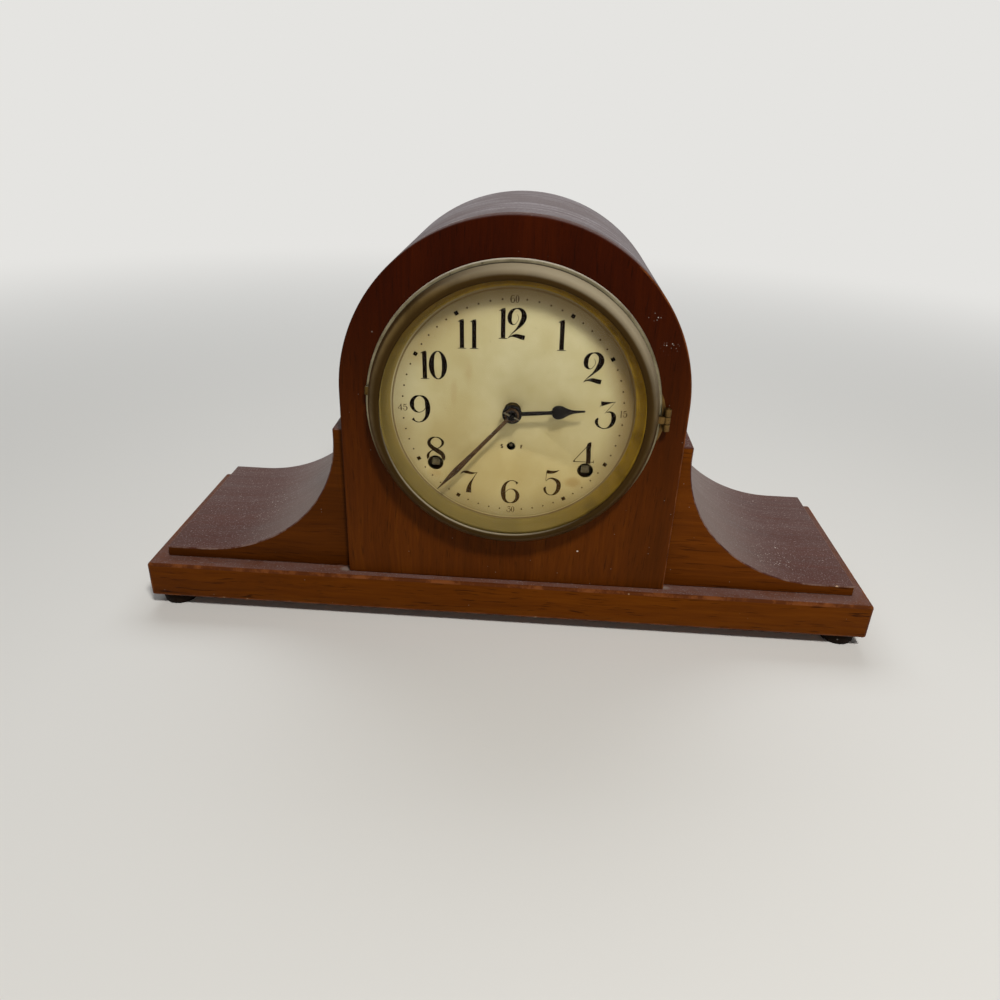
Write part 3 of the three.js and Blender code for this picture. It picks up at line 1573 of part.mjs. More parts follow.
place(dialGroup, 'dial', dial(), creamDial());
place(dialGroup, 'bezel_seat', bezelSeat(), antiqueBrass());
place(dialGroup, 'bezel_hinge', bezelHingeLeaf(), antiqueBrass());
place(dialGroup, 'bezel_rim', bezelRim(), antiqueBrass());
place(dialGroup, 'bezel_glass', bezelGlass(), clearGlass());
place(dialGroup, 'sight_ring', sightRing(), giltBrass());
place(dialGroup, 'hour_hand', hourHand(), blackSteel());
place(dialGroup, 'minute_hand', minuteHand(), blackSteel());
place(dialGroup, 'hand_washer', handWasher(), blackSteel());
place(dialGroup, 'hand_pin', handPin(), blackSteel());

place(dialGroup, 'front_plate', frontPlate(), brass());
place(dialGroup, 'back_plate', backPlate(), brass());
place(dialGroup, 'time_winder', winder(), steel(), timeWinder);
place(dialGroup, 'strike_winder', winder(), steel(), strikeWinder);
place(dialGroup, 'time_great_wheel', greatWheel(timeGreatPhase, 1), brass(), timeWinder);
place(dialGroup, 'strike_great_wheel', greatWheel(strikeGreatPhase, -1), brass(), strikeWinder);
place(dialGroup, 'time_click', click(1), steel(), clickPlace(timeWinder, 1));
place(dialGroup, 'strike_click', click(-1), steel(), clickPlace(strikeWinder, -1));
const [leftPillar, rightPillar] = pillarPlaces;
place(dialGroup, 'time_mainspring', mainspring(timeWinder, rightPillar), steel(), timeWinder);
place(dialGroup, 'strike_mainspring', mainspring(strikeWinder, leftPillar), steel(), strikeWinder);
place(dialGroup, 'second_wheel', secondWheel(), brass(), second);
place(dialGroup, 'centre_arbor', centreArbor(), brass());
place(dialGroup, 'third_wheel', thirdWheel(), brass(), third);
place(dialGroup, 'escape_wheel', escapeWheel(), brass(), escape);
place(dialGroup, 'verge', vergePiece(), steel(), verge);
place(dialGroup, 'minute_wheel', minuteWheel(), brass(), minuteStud);
place(dialGroup, 'hour_wheel', hourWheel(), brass());
place(dialGroup, 'count_wheel', countWheel(), brass(), strikeWinder);
place(dialGroup, 'pin_wheel', pinWheel(), brass(), pinArbor);
place(dialGroup, 'warning_wheel', warningWheel(), brass(), warning);
place(dialGroup, 'fly', flyPiece(), brass(), fly);
place(dialGroup, 'suspension_post', suspensionPost(), brass(), { x: verge.x, z: suspensionTop });
place(dialGroup, 'suspension_spring', suspensionSpring(), steel());
place(dialGroup, 'pendulum_rod', pendulumRod(), steel());
place(dialGroup, 'pendulum_bob', pendulumBob(), brass());
place(dialGroup, 'rating_nut', ratingNut(), brass());
place(dialGroup, 'regulator_arbor', regulatorArbor(), steel(), regulator);
place(dialGroup, 'regulator_slide', regulatorSlide(), brass());
place(dialGroup, 'hammer_arbor', hammerArbor(), steel(), hammer);
place(dialGroup, 'hammer_head', hammerHead(), brass(), { x: hammerHeadX, z: hammerHeadZ });
place(dialGroup, 'gong_coil', gongCoil(), steel(), gong);
place(dialGroup, 'gong_block', gongBlock(), iron(), gong);

export default clock;
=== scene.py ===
import json
import math

import bmesh
import bpy
from mathutils import Matrix, Vector


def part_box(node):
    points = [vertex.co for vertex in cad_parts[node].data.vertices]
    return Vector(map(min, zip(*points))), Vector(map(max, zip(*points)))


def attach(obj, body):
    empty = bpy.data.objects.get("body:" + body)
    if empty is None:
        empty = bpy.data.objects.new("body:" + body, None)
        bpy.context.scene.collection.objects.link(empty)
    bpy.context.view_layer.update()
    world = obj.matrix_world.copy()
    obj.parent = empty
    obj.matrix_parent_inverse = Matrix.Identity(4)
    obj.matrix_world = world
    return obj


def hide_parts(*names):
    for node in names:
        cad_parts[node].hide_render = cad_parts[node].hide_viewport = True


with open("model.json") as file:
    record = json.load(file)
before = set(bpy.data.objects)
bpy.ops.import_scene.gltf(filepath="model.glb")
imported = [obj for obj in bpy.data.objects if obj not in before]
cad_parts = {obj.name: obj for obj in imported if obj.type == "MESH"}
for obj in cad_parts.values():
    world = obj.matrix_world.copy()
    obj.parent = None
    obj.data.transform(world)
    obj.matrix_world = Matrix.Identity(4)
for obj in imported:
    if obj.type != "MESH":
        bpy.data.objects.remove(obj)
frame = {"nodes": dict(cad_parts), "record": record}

mm = 0.001
hair = 1e-6  # metres: points closer than this are one point
scene = bpy.context.scene
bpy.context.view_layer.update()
slotOf = {part["node"]: part["material_slot"] for part in frame["record"]["subparts"]}
print("frame loaded:", len(frame["nodes"]), "nodes")

# main places, all taken from the frame
plinthLow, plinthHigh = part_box("plinth")
panelLow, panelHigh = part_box("front_panel")
wrapLow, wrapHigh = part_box("arch_wrap")
dialLow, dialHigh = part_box("dial")
caseFront = panelLow.y
caseFoot = panelLow.z
archRadius = panelHigh.x
archCentre = panelHigh.z - archRadius
dialZ = (dialLow.z + dialHigh.z) / 2
dialAxis = (0, 0, dialZ)
dialCentre = Vector((0, caseFront, dialZ))


# mesh helpers

def arcPoints(centreX, centreZ, radius, startDeg, endDeg, steps):
    angles = [math.radians(startDeg + (endDeg - startDeg) * i / steps) for i in range(steps + 1)]
    return [(centreX + radius * math.cos(a), centreZ + radius * math.sin(a)) for a in angles]


def archOutline(halfWidth, foot, spring, steps):  # feet first, then over the top from right to left
    return [(-halfWidth, foot), (halfWidth, foot)] + arcPoints(0, spring, halfWidth, 0, 180, steps)


def circleOutline(centreX, centreZ, radius, steps):
    return arcPoints(centreX, centreZ, radius, 0, 360, steps)[:-1]


def splinePoints(stations, steps):  # smooth curve through every station
    ends = [stations[0]] + stations + [stations[-1]]
    points = []
    for a, b, c, d in zip(ends, ends[1:], ends[2:], ends[3:]):
        for i in range(steps):
            t = i / steps
            weights = (-t ** 3 + 2 * t ** 2 - t, 3 * t ** 3 - 5 * t ** 2 + 2,
                       -3 * t ** 3 + 4 * t ** 2 + t, t ** 3 - t ** 2)
            points.append(tuple(sum(w * p[k] for w, p in zip(weights, (a, b, c, d))) / 2 for k in (0, 1)))
    return points + [stations[-1]]


def loopOf(bm, points, depth):
    ring = [bm.verts.new((x, depth, z)) for x, z in points]
    return [bm.edges.new(pair) for pair in zip(ring, ring[1:] + ring[:1])]


def turnFacesOut(bm):
    bmesh.ops.recalc_face_normals(bm, faces=bm.faces[:])


def move(bm, vec):
    bmesh.ops.translate(bm, verts=bm.verts[:], vec=vec)


def rotation(degrees, axis="Y", size=4):
    return Matrix.Rotation(math.radians(degrees), size, axis)


def turnAbout(bm, degrees, centre=(0, 0, 0)):  # about an axis that runs from front to back
    bmesh.ops.rotate(bm, verts=bm.verts[:], cent=centre, matrix=rotation(degrees, size=3))


def pullBack(bm, made, depth):  # carries what was just extruded towards the back
    moved = [part for part in made["geom"] if isinstance(part, bmesh.types.BMVert)]
    bmesh.ops.translate(bm, verts=moved, vec=(0, depth, 0))
    turnFacesOut(bm)


def easeEdges(bm, width, segments, least=35, chosen=None, wornSlot=None):
    sharp = []
    for edge in bm.edges:
        if len(edge.link_faces) == 2 and edge.calc_face_angle() > math.radians(least):
            if chosen is None or chosen(edge):
                sharp.append(edge)
    made = bmesh.ops.bevel(bm, geom=sharp, offset=width, offset_type="OFFSET", segments=segments,
                           profile=0.5, affect="EDGES", clamp_overlap=True, material=-1)
    if wornSlot is not None:  # the eased edges show worn finish
        for face in made["faces"]:
            face.material_index = wornSlot


def plate(outer, holes, front, back):  # a flat board with holes, standing in the xz plane
    bm = bmesh.new()
    edges = loopOf(bm, outer, front)
    for hole in holes:
        edges += loopOf(bm, hole, front)
    if holes:
        bmesh.ops.triangle_fill(bm, use_beauty=True, use_dissolve=False, edges=edges)
    else:
        bmesh.ops.contextual_create(bm, geom=edges)
    pullBack(bm, bmesh.ops.extrude_face_region(bm, geom=bm.faces[:]), back - front)
    return bm


def turned(profile, centre, sides, axis="Y", closed=True):  # profile of (radius, along the axis)
    bm = bmesh.new()
    upright = axis == "Z"
    verts = [bm.verts.new((radius, 0, along) if upright else (radius, along, 0)) for radius, along in profile]
    pairs = list(zip(verts, verts[1:]))
    if closed:
        pairs.append((verts[-1], verts[0]))
    edges = [bm.edges.new(pair) for pair in pairs]
    spinAxis = (0, 0, 1) if upright else (0, 1, 0)
    bmesh.ops.spin(bm, geom=verts + edges, cent=(0, 0, 0), axis=spinAxis, angle=2 * math.pi,
                   steps=sides, use_merge=True)
    bmesh.ops.remove_doubles(bm, verts=bm.verts[:], dist=hair)
    move(bm, centre)
    turnFacesOut(bm)
    return bm


def cuboid(low, high, ease, segments=2, wornSlot=None):
    bm = bmesh.new()
    bmesh.ops.create_cube(bm, size=1)
    bmesh.ops.scale(bm, vec=Vector(high) - Vector(low), verts=bm.verts[:])
    move(bm, (Vector(low) + Vector(high)) / 2)
    easeEdges(bm, ease, segments, wornSlot=wornSlot)
    return bm


def barrel(radius, bore, low, high, ease, sides=32):  # upright knuckle, drilled when it has a bore
    profile = [(bore, low), (radius, low), (radius, high), (bore, high)]
    bm = turned(profile, (0, 0, 0), sides, "Z", closed=bore > 0)
    easeEdges(bm, ease, 2)
    return bm


def joinInto(bm, other):
    mesh = bpy.data.meshes.new("joined_part")
    other.to_mesh(mesh)
    other.free()
    bm.from_mesh(mesh)
    bpy.data.meshes.remove(mesh)


def newWire(name, kind, count, radius):  # round wire along a path of so many knots
    curve = bpy.data.curves.new(name, "CURVE")
    curve.dimensions = "3D"
    curve.bevel_depth = radius
    curve.bevel_resolution = 2
    curve.use_fill_caps = True
    spline = curve.splines.new(kind)
    knots = spline.bezier_points if kind == "BEZIER" else spline.points
    knots.add(count - 1)
    return curve, spline, knots


def joinWire(bm, curve, place=Matrix()):  # the wire's surface goes into the piece's mesh
    path = bpy.data.objects.new(curve.name, curve)
    mesh = path.to_mesh()
    mesh.transform(place)
    bm.from_mesh(mesh)
    path.to_mesh_clear()
    bpy.data.objects.remove(path)
    bpy.data.curves.remove(curve)


def finishPiece(name, bm, looks, body, node, added=False, smooth=40):  # added ones take no solid's place
    mesh = bpy.data.meshes.new(name)
    bm.to_mesh(mesh)
    bm.free()
    for look in looks:
        mesh.materials.append(finishes[look])
    mesh.shade_smooth()
    mesh.set_sharp_from_angle(angle=math.radians(smooth))
    piece = bpy.data.objects.new(name, mesh)
    scene.collection.objects.link(piece)
    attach(piece, body)
    if not added:
        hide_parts(node)


# shader helpers

def rgb(red, green, blue):  # screen colour, 0 to 255, as a shader colour
    shares = [value / 255 for value in (red, green, blue)]
    return tuple(s / 12.92 if s <= 0.04045 else ((s + 0.055) / 1.055) ** 2.4 for s in shares) + (1,)


def plug(tree, socket, value):  # a link where the value is a socket, or else a fixed value
    if isinstance(value, bpy.types.NodeSocket):
        tree.links.new(value, socket)
    else:
        socket.default_value = value


def addNode(tree, kind, inputs=None, **settings):
    made = tree.nodes.new("ShaderNode" + kind)
    for name, value in settings.items():
        setattr(made, name, value)
    for key, value in (inputs or {}).items():
        plug(tree, made.inputs[key], value)
    return made


def setShader(shader, **values):
    for key, value in values.items():
        plug(shader.id_data, shader.inputs[key.replace("_", " ")], value)


def newFinish(name):
    material = bpy.data.materials.new(name)
    material.use_nodes = True
    return material, material.node_tree, material.node_tree.nodes["Principled BSDF"]


def objectPoint(tree, centre=(0, 0, 0), stretch=(1, 1, 1)):
    source = addNode(tree, "TexCoord").outputs["Object"]
    shift = [-c * s for c, s in zip(centre, stretch)]
    return addNode(tree, "Mapping", {"Vector": source, "Location": shift, "Scale": stretch}).outputs[0]


def facingOf(tree):  # the way the surface looks
    return addNode(tree, "TexCoord").outputs["Normal"]


def axisOf(tree, vector, axis):  # 0 across, 1 from front to back, 2 up
    return addNode(tree, "SeparateXYZ", {0: vector}).outputs[axis]


def lengthOf(tree, vector):
    return addNode(tree, "VectorMath", {0: vector}, operation="LENGTH").outputs["Value"]


def alongOf(tree, vector, direction):
    return addNode(tree, "VectorMath", {0: vector, 1: direction}, operation="DOT_PRODUCT").outputs["Value"]


def noiseOf(tree, point, scale=1, detail=4, roughness=0.5, distortion=0):
    values = {"Vector": point, "Scale": scale, "Detail": detail, "Roughness": roughness,
              "Distortion": distortion}
    return addNode(tree, "TexNoise", values).outputs[0]


def patchesOf(tree, point, noise, span):  # noise read through a span
    return spanOf(tree, noiseOf(tree, point, *noise), *span)


def mathOf(tree, operation, *values):
    return addNode(tree, "Math", dict(enumerate(values)), operation=operation).outputs[0]


def timesOf(tree, first, second):
    return mathOf(tree, "MULTIPLY", first, second)


def largerOf(tree, first, second):
    return mathOf(tree, "MAXIMUM", first, second)


def spanOf(tree, value, low, high, outLow=0, outHigh=1):  # smooth step from low to high
    values = {"Value": value, "From Min": low, "From Max": high, "To Min": outLow, "To Max": outHigh}
    return addNode(tree, "MapRange", values, interpolation_type="SMOOTHSTEP").outputs[0]


def mixOf(tree, share, first, second, blend="MIX"):
    inputs = {0: share, 6: first, 7: second}
    return addNode(tree, "Mix", inputs, data_type="RGBA", blend_type=blend).outputs[2]


def rampOf(tree, value, stops):
    made = addNode(tree, "ValToRGB", {0: value})
    elements = made.color_ramp.elements
    elements[0].position, elements[0].color = stops[0]
    elements[1].position, elements[1].color = stops[-1]
    for place, colour in stops[1:-1]:
        elements.new(place).color = colour
    return made.outputs[0]


def specksOf(tree, point, perMetre, size, rarity):  # scattered flecks, 1 inside a fleck
    cells = addNode(tree, "TexVoronoi", {"Vector": point, "Scale": perMetre})
    near = spanOf(tree, cells.outputs["Distance"], size, size * 0.5)
    chance = addNode(tree, "SeparateColor", {0: cells.outputs["Color"]}).outputs[0]
    return timesOf(tree, near, mathOf(tree, "GREATER_THAN", chance, rarity))


def stainOf(tree, centre, radii, ragged=0.25, grain=120):  # soft patch, 1 at its middle
    reach = lengthOf(tree, objectPoint(tree, centre, [1 / r for r in radii]))
    rough = noiseOf(tree, objectPoint(tree), grain, 4)
    edge = mathOf(tree, "MULTIPLY_ADD", rough, ragged * 4, mathOf(tree, "SUBTRACT", reach, ragged * 2))
    return spanOf(tree, edge, 1, 0.2)


def addBump(tree, shader, height, strength, distance):
    values = {"Height": height, "Strength": strength, "Distance": distance}
    tree.links.new(addNode(tree, "Bump", values).outputs[0], shader.inputs["Normal"])


def blendSurface(tree, share, first, second, output="Material Output"):  # the last mix before the output
    mixed = addNode(tree, "MixShader", {0: share, 1: first, 2: second})
    tree.links.new(mixed.outputs[0], tree.nodes[output].inputs["Surface"])


# finishes

woodLook = {
    "dark": rgb(38, 9, 1), "mid": rgb(51, 14, 2), "light": rgb(64, 21, 3),
    "pore": rgb(22, 5, 1), "pores": 0.5, "fibre": (8, 200, 200), "waver": 0.006, "bent": False,
    "lowTint": None, "marks": [], "roughness": (0.38, 0.54), "gloss": 0.04,
    # a painted sheen on slanted faces: its share and tint are set on the next line
    "dust": 0.3, "dustTint": rgb(110, 88, 84), "patch": 60, "bloom": 0, "bloomTint": rgb(136, 121, 113),
    "streaks": 0, "streakTint": rgb(150, 140, 138), "grit": 0, "gritTint": rgb(168, 158, 156),
    "specks": 0.8, "speckCount": 210, "speckTint": rgb(205, 198, 188), "crumbs": [], "crumbRarity": 0.3,
}
woodNoise = {  # scale, detail and roughness, then the span that it is read through
    "figure": (0.22, 3), "figureShare": 0.45, "lines": (2.2, 7, 0.7), "lineShare": 0.55,
    "toneStops": (0.26, 0.5, 0.74),
    "pores": [(6, 2), (0.6, 0.72)],
    "wiped": [(0.9, 6, 0.75), (0.42, 0.64)],
    "broken": [(600, 3, 0.7), (0.42, 0.62, 0.3, 1)],
    "wipedPatch": [(22, 2), (0.4, 0.62, 0.25, 1)],
    "grains": [(1100, 2, 0.6), (0.56, 0.74, 0)],
    "fineSpecks": (0.07, 0.72), "coarseSpecks": (75, 0.045, 0.7), "crumbs": (800, 0.3),
}


def archPoint(tree, point):  # distance round the arch and depth, so that the grain follows the bend
    rise = mathOf(tree, "SUBTRACT", axisOf(tree, point, 2), archCentre)
    turn = mathOf(tree, "ARCTAN2", axisOf(tree, point, 0), rise)
    girth = timesOf(tree, turn, archRadius)
    return addNode(tree, "CombineXYZ", {0: girth, 1: axisOf(tree, point, 1)}).outputs[0]


def woodColour(tree, look, point, fibre, lines, pores):  # grain, pores, tone and painted light towards the foot, and marks
    figure = noiseOf(tree, fibre, *woodNoise["figure"])
    fine = timesOf(tree, lines, woodNoise["lineShare"])
    tone = mathOf(tree, "MULTIPLY_ADD", figure, woodNoise["figureShare"], fine)
    tints = (look["dark"], look["mid"], look["light"])
    colour = rampOf(tree, tone, list(zip(woodNoise["toneStops"], tints)))
    colour = mixOf(tree, timesOf(tree, pores, look["pores"]), colour, look["pore"])
    if look["lowTint"]:  # warmer and paler towards the foot: partly the wood's tone, partly painted light bounced up from below
        low = spanOf(tree, axisOf(tree, point, 2), look["fadeTop"], look["fadeLow"])
        colour = mixOf(tree, low, colour, look["lowTint"], "MULTIPLY")
    for centre, radii, tint, share in look["marks"]:
        colour = mixOf(tree, timesOf(tree, stainOf(tree, centre, radii), share), colour, tint)
    return colour


def woodFilm(tree, look, point, fibre, lines, lying, colour):  # painted sheen on slanted faces, wiping marks and grit over the dust
    if look["bloom"]:  # painted sheen: greyer where a hollow turns up, as if it caught the light
        sideways = mathOf(tree, "ABSOLUTE", axisOf(tree, facingOf(tree), 0))
        slant = spanOf(tree, sideways, 0.12, 0.75, 0, look["bloom"])
        share = timesOf(tree, slant, spanOf(tree, lines, 0.2, 0.7, 0.7, 1))
        colour = mixOf(tree, share, colour, look["bloomTint"])
    if look["streaks"]:  # pale wiping marks along the grain, broken into grains of dust
        wiped = patchesOf(tree, fibre, *woodNoise["wiped"])
        broken = patchesOf(tree, point, *woodNoise["broken"])
        patchy = patchesOf(tree, point, *woodNoise["wipedPatch"])
        wiped = timesOf(tree, timesOf(tree, wiped, timesOf(tree, broken, patchy)), look["streaks"])
        colour = mixOf(tree, timesOf(tree, wiped, lying), colour, look["streakTint"])
    if look["grit"]:  # grains of dust scattered all over what faces up
        noise, span = woodNoise["grains"]
        grains = patchesOf(tree, point, noise, (*span, look["grit"]))
        colour = mixOf(tree, timesOf(tree, grains, lying), colour, look["gritTint"])
    return colour


def woodFlecks(tree, look, point, lying, colour):  # pale specks, and crumbs gathered in a few places
    fine = specksOf(tree, point, look["speckCount"], *woodNoise["fineSpecks"])
    coarse = specksOf(tree, point, *woodNoise["coarseSpecks"])
    flecks = timesOf(tree, largerOf(tree, fine, coarse), look["specks"])
    for centre, radii in look["crumbs"]:
        crumbs = specksOf(tree, point, *woodNoise["crumbs"], look["crumbRarity"])
        dirt = timesOf(tree, stainOf(tree, centre, radii), crumbs)
        flecks = largerOf(tree, flecks, dirt)
        lying = largerOf(tree, lying, dirt)
    share = timesOf(tree, flecks, spanOf(tree, lying, 0, 1, 0.25, 0.9))
    return mixOf(tree, share, colour, look["speckTint"])


def woodFinish(name, **changes):
    look = {**woodLook, **changes}
    material, tree, shader = newFinish(name)
    point = objectPoint(tree)
    if look["bent"]:
        point = archPoint(tree, point)
    drift = addNode(tree, "TexNoise", {"Vector": point, "Scale": 16, "Detail": 2}).outputs[1]
    wavering = {0: drift, 1: (look["waver"],) * 3, 2: point}
    wavy = addNode(tree, "VectorMath", wavering, operation="MULTIPLY_ADD").outputs[0]
    fibre = addNode(tree, "Mapping", {"Vector": wavy, "Scale": look["fibre"]}).outputs[0]
    lines = noiseOf(tree, fibre, *woodNoise["lines"])
    pores = patchesOf(tree, fibre, *woodNoise["pores"])
    colour = woodColour(tree, look, point, fibre, lines, pores)
    lying = spanOf(tree, axisOf(tree, facingOf(tree), 2), 0.15, 0.9)
    patchy = patchesOf(tree, point, (look["patch"], 7, 0.65), (0.3, 0.7, 0.4, 1))
    dust = timesOf(tree, timesOf(tree, lying, patchy), look["dust"])
    colour = mixOf(tree, dust, colour, look["dustTint"])
    colour = woodFilm(tree, look, point, fibre, lines, lying, colour)
    colour = woodFlecks(tree, look, point, lying, colour)
    worn = spanOf(tree, lines, 0.3, 0.7, *look["roughness"])
    rough = mathOf(tree, "MULTIPLY_ADD", dust, 0.25, worn)
    setShader(shader, Base_Color=colour, Roughness=rough, Specular_IOR_Level=look["gloss"])
    addBump(tree, shader, mathOf(tree, "MULTIPLY_ADD", pores, -0.6, lines), 0.25, 0.15 * mm)
    return material


def edgeFinish(name, rubbed, base):  # finish worn through along an edge
    material, tree, shader = newFinish(name)
    point = objectPoint(tree)
    patchy = patchesOf(tree, point, (90, 6, 0.7), (0.42, 0.62))
    colour = mixOf(tree, patchy, base, rubbed)
    colour = mixOf(tree, specksOf(tree, point, 160, 0.16, 0.75), colour, rgb(190, 160, 128))
    rough = spanOf(tree, patchy, 0, 1, 0.35, 0.55)
    setShader(shader, Base_Color=colour, Roughness=rough, Specular_IOR_Level=0.06)
    addBump(tree, shader, noiseOf(tree, point, 700, 4), 0.2, 0.1 * mm)
    return material


brassLook = {
    "clean": rgb(150, 138, 100), "dull": rgb(96, 86, 58), "patch": 70, "spot": rgb(52, 44, 30), "spots": 0.6,
    "roughness": (0.3, 0.5), "metallic": 0.92, "fine": 0.15, "turnLines": 0,
    "dust": 0, "dustTint": rgb(150, 142, 124), "dustAlong": (0, 0, 1),
    "aged": None, "agedAlong": (0, 0, -1), "agedReach": 45 * mm,
    "inner": None, "innerFrom": 0, "innerTo": 0,
    "grimeFrom": None, "grimeDeep": 0.6 * mm, "grime": rgb(38, 30, 18),
    "steelAhead": None, "steelTint": rgb(30, 26, 22),
}


def brassFinish(name, **changes):
    look = {**brassLook, **changes}
    material, tree, shader = newFinish(name)
    point = objectPoint(tree)
    patches = noiseOf(tree, point, look["patch"], 6, 0.65, 0.4)
    colour = rampOf(tree, patches, [(0.36, look["dull"]), (0.62, look["clean"])])
    pits = largerOf(tree, specksOf(tree, point, 330, 0.18, 0.6), specksOf(tree, point, 130, 0.1, 0.72))
    colour = mixOf(tree, timesOf(tree, pits, look["spots"]), colour, look["spot"])
    rough = spanOf(tree, patches, 0.3, 0.7, look["roughness"][1], look["roughness"][0])
    flat = objectPoint(tree, dialAxis, (1, 0, 1))
    reach = lengthOf(tree, flat)
    if look["aged"]:  # painted light and shade: paler olive towards one side of the ring, darker gold where shade falls on the other
        along = alongOf(tree, flat, look["agedAlong"])
        dulled = spanOf(tree, along, -look["agedReach"], look["agedReach"], 0, 0.9)
        colour = mixOf(tree, dulled, colour, look["aged"])
    if look["inner"]:  # painted shade and reflection: darker where the roll turns in to the glass
        colour = mixOf(tree, spanOf(tree, reach, look["innerFrom"], look["innerTo"]), colour, look["inner"])
    metallic = look["metallic"]
    if look["dust"]:  # dull pale film on the side it faces: dust, and on the bezel roll also a painted highlight
        facing = alongOf(tree, facingOf(tree), look["dustAlong"])
        settled = spanOf(tree, facing, 0.25, 0.95, 0, look["dust"])
        colour = mixOf(tree, settled, colour, look["dustTint"])
        metallic = mathOf(tree, "MULTIPLY_ADD", settled, -look["metallic"], look["metallic"])
    depth = axisOf(tree, point, 1)
    if look["grimeFrom"] is not None:  # dark line in the corner by the seat: grime and painted shade in the groove
        grimy = spanOf(tree, depth, look["grimeFrom"] - look["grimeDeep"], look["grimeFrom"])
        colour = mixOf(tree, grimy, colour, look["grime"])
    if look["steelAhead"] is not None:  # the arbor itself is steel where it stands ahead of this plane
        colour = mixOf(tree, mathOf(tree, "LESS_THAN", depth, look["steelAhead"]), colour, look["steelTint"])
    setShader(shader, Base_Color=colour, Metallic=metallic, Roughness=rough)
    height = noiseOf(tree, point, 900, 5, 0.6)
    if look["turnLines"]:  # fine lines left by the lathe, round the dial's axis
        rings = addNode(tree, "CombineXYZ", {0: timesOf(tree, reach, look["turnLines"])}).outputs[0]
        height = mathOf(tree, "MULTIPLY_ADD", noiseOf(tree, rings, 1, 4, 0.7), 1.5, height)
    addBump(tree, shader, height, look["fine"], 0.06 * mm)
    return material


def steelFinish(name, base, tinge, roughness, metallic=1.0):
    material, tree, shader = newFinish(name)
    point = objectPoint(tree)
    bloom = noiseOf(tree, point, 160, 6, 0.65)
    colour = rampOf(tree, bloom, [(0.35, base), (0.68, tinge)])
    rust = specksOf(tree, point, 420, 0.2, 0.7)
    colour = mixOf(tree, timesOf(tree, rust, 0.5), colour, rgb(70, 40, 22))
    rough = spanOf(tree, bloom, 0.3, 0.7, *roughness)
    setShader(shader, Base_Color=colour, Metallic=metallic, Roughness=rough, Specular_IOR_Level=0.15)
    addBump(tree, shader, noiseOf(tree, point, 1100, 4), 0.12, 0.05 * mm)
    return material


dialLook = {
    "pale": rgb(190, 181, 139), "aged": rgb(174, 161, 114), "ochre": rgb(150, 116, 58),
    "line": rgb(76, 55, 26), "smudge": rgb(136, 130, 102), "brown": rgb(106, 80, 38),
    "lowTint": (0.98, 0.88, 0.7, 1), "lowFrom": 20 * mm, "lowTo": -45 * mm,
    # the brown edge tint is partly painted shade of the bezel
    "brownAlong": (0.6, 0, 0.8), "brownFrom": -30 * mm, "brownTo": 50 * mm, "brimFrom": 0.76,
    "rimLine": 59.4 * mm, "rimLineHalf": 0.3 * mm, "flatRadius": 58.8 * mm,
    "patches": [  # x, z, half width and half height in mm from the dial's centre, tint and strength
        (-22, 18, 3, 9, "ochre", 0.18), (-29, 8, 2.5, 10, "ochre", 0.18),  # old oil left of the centre
        (32, -37, 6, 4, "ochre", 0.5), (-38, -36, 5, 4, "ochre", 0.3),  # stains by the winding holes
        (42, 41, 9, 8, "smudge", 0.6),  # smudge between one and two
    ],
    "patchDepth": 40 * mm, "patchRagged": 0.2, "patchGrain": 200,
}


def dialFinish():
    look = dialLook
    material, tree, shader = newFinish("aged_cream_dial")
    point = objectPoint(tree)
    broad = noiseOf(tree, point, 28, 4, 0.55)
    colour = rampOf(tree, broad, [(0.35, look["aged"]), (0.62, look["pale"])])
    low = spanOf(tree, axisOf(tree, point, 2), dialZ + look["lowFrom"], dialZ + look["lowTo"])
    colour = mixOf(tree, low, colour, look["lowTint"], "MULTIPLY")
    for x, z, wide, high, tint, share in look["patches"]:
        centre = (x * mm, dialLow.y, dialZ + z * mm)
        radii = (wide * mm, look["patchDepth"], high * mm)
        area = stainOf(tree, centre, radii, look["patchRagged"], look["patchGrain"])
        colour = mixOf(tree, timesOf(tree, area, share), colour, look[tint])
    grains = noiseOf(tree, point, 1500, 3, 0.7)
    colour = mixOf(tree, spanOf(tree, grains, 0.55, 0.75, 0, 0.28), colour, look["ochre"])
    pits = specksOf(tree, point, 420, 0.12, 0.86)
    colour = mixOf(tree, timesOf(tree, pits, 0.55), colour, look["line"])
    flat = objectPoint(tree, dialAxis, (1, 0, 1))
    reach = lengthOf(tree, flat)
    off = mathOf(tree, "ABSOLUTE", mathOf(tree, "SUBTRACT", reach, look["rimLine"]))
    groove = spanOf(tree, off, look["rimLineHalf"] * 2, look["rimLineHalf"] * 0.5)
    colour = mixOf(tree, timesOf(tree, groove, 0.8), colour, look["line"])
    upRight = alongOf(tree, flat, look["brownAlong"])
    brim = spanOf(tree, reach, look["flatRadius"] * look["brimFrom"], look["flatRadius"])
    browned = timesOf(tree, brim, spanOf(tree, upRight, look["brownFrom"], look["brownTo"], 0.25, 0.85))
    colour = mixOf(tree, browned, colour, look["brown"])  # paint browned at the edge together with painted shade of the bezel, most at the upper right
    rough = spanOf(tree, broad, 0.3, 0.7, 0.5, 0.38)
    setShader(shader, Base_Color=colour, Roughness=rough, Metallic=0.1, Specular_IOR_Level=0.15)
    addBump(tree, shader, grains, 0.12, 0.04 * mm)
    return material


inkLook = {"fade": 0.75, "fadeFrom": 5 * mm, "fadeTo": 45 * mm}  # below the dial's centre


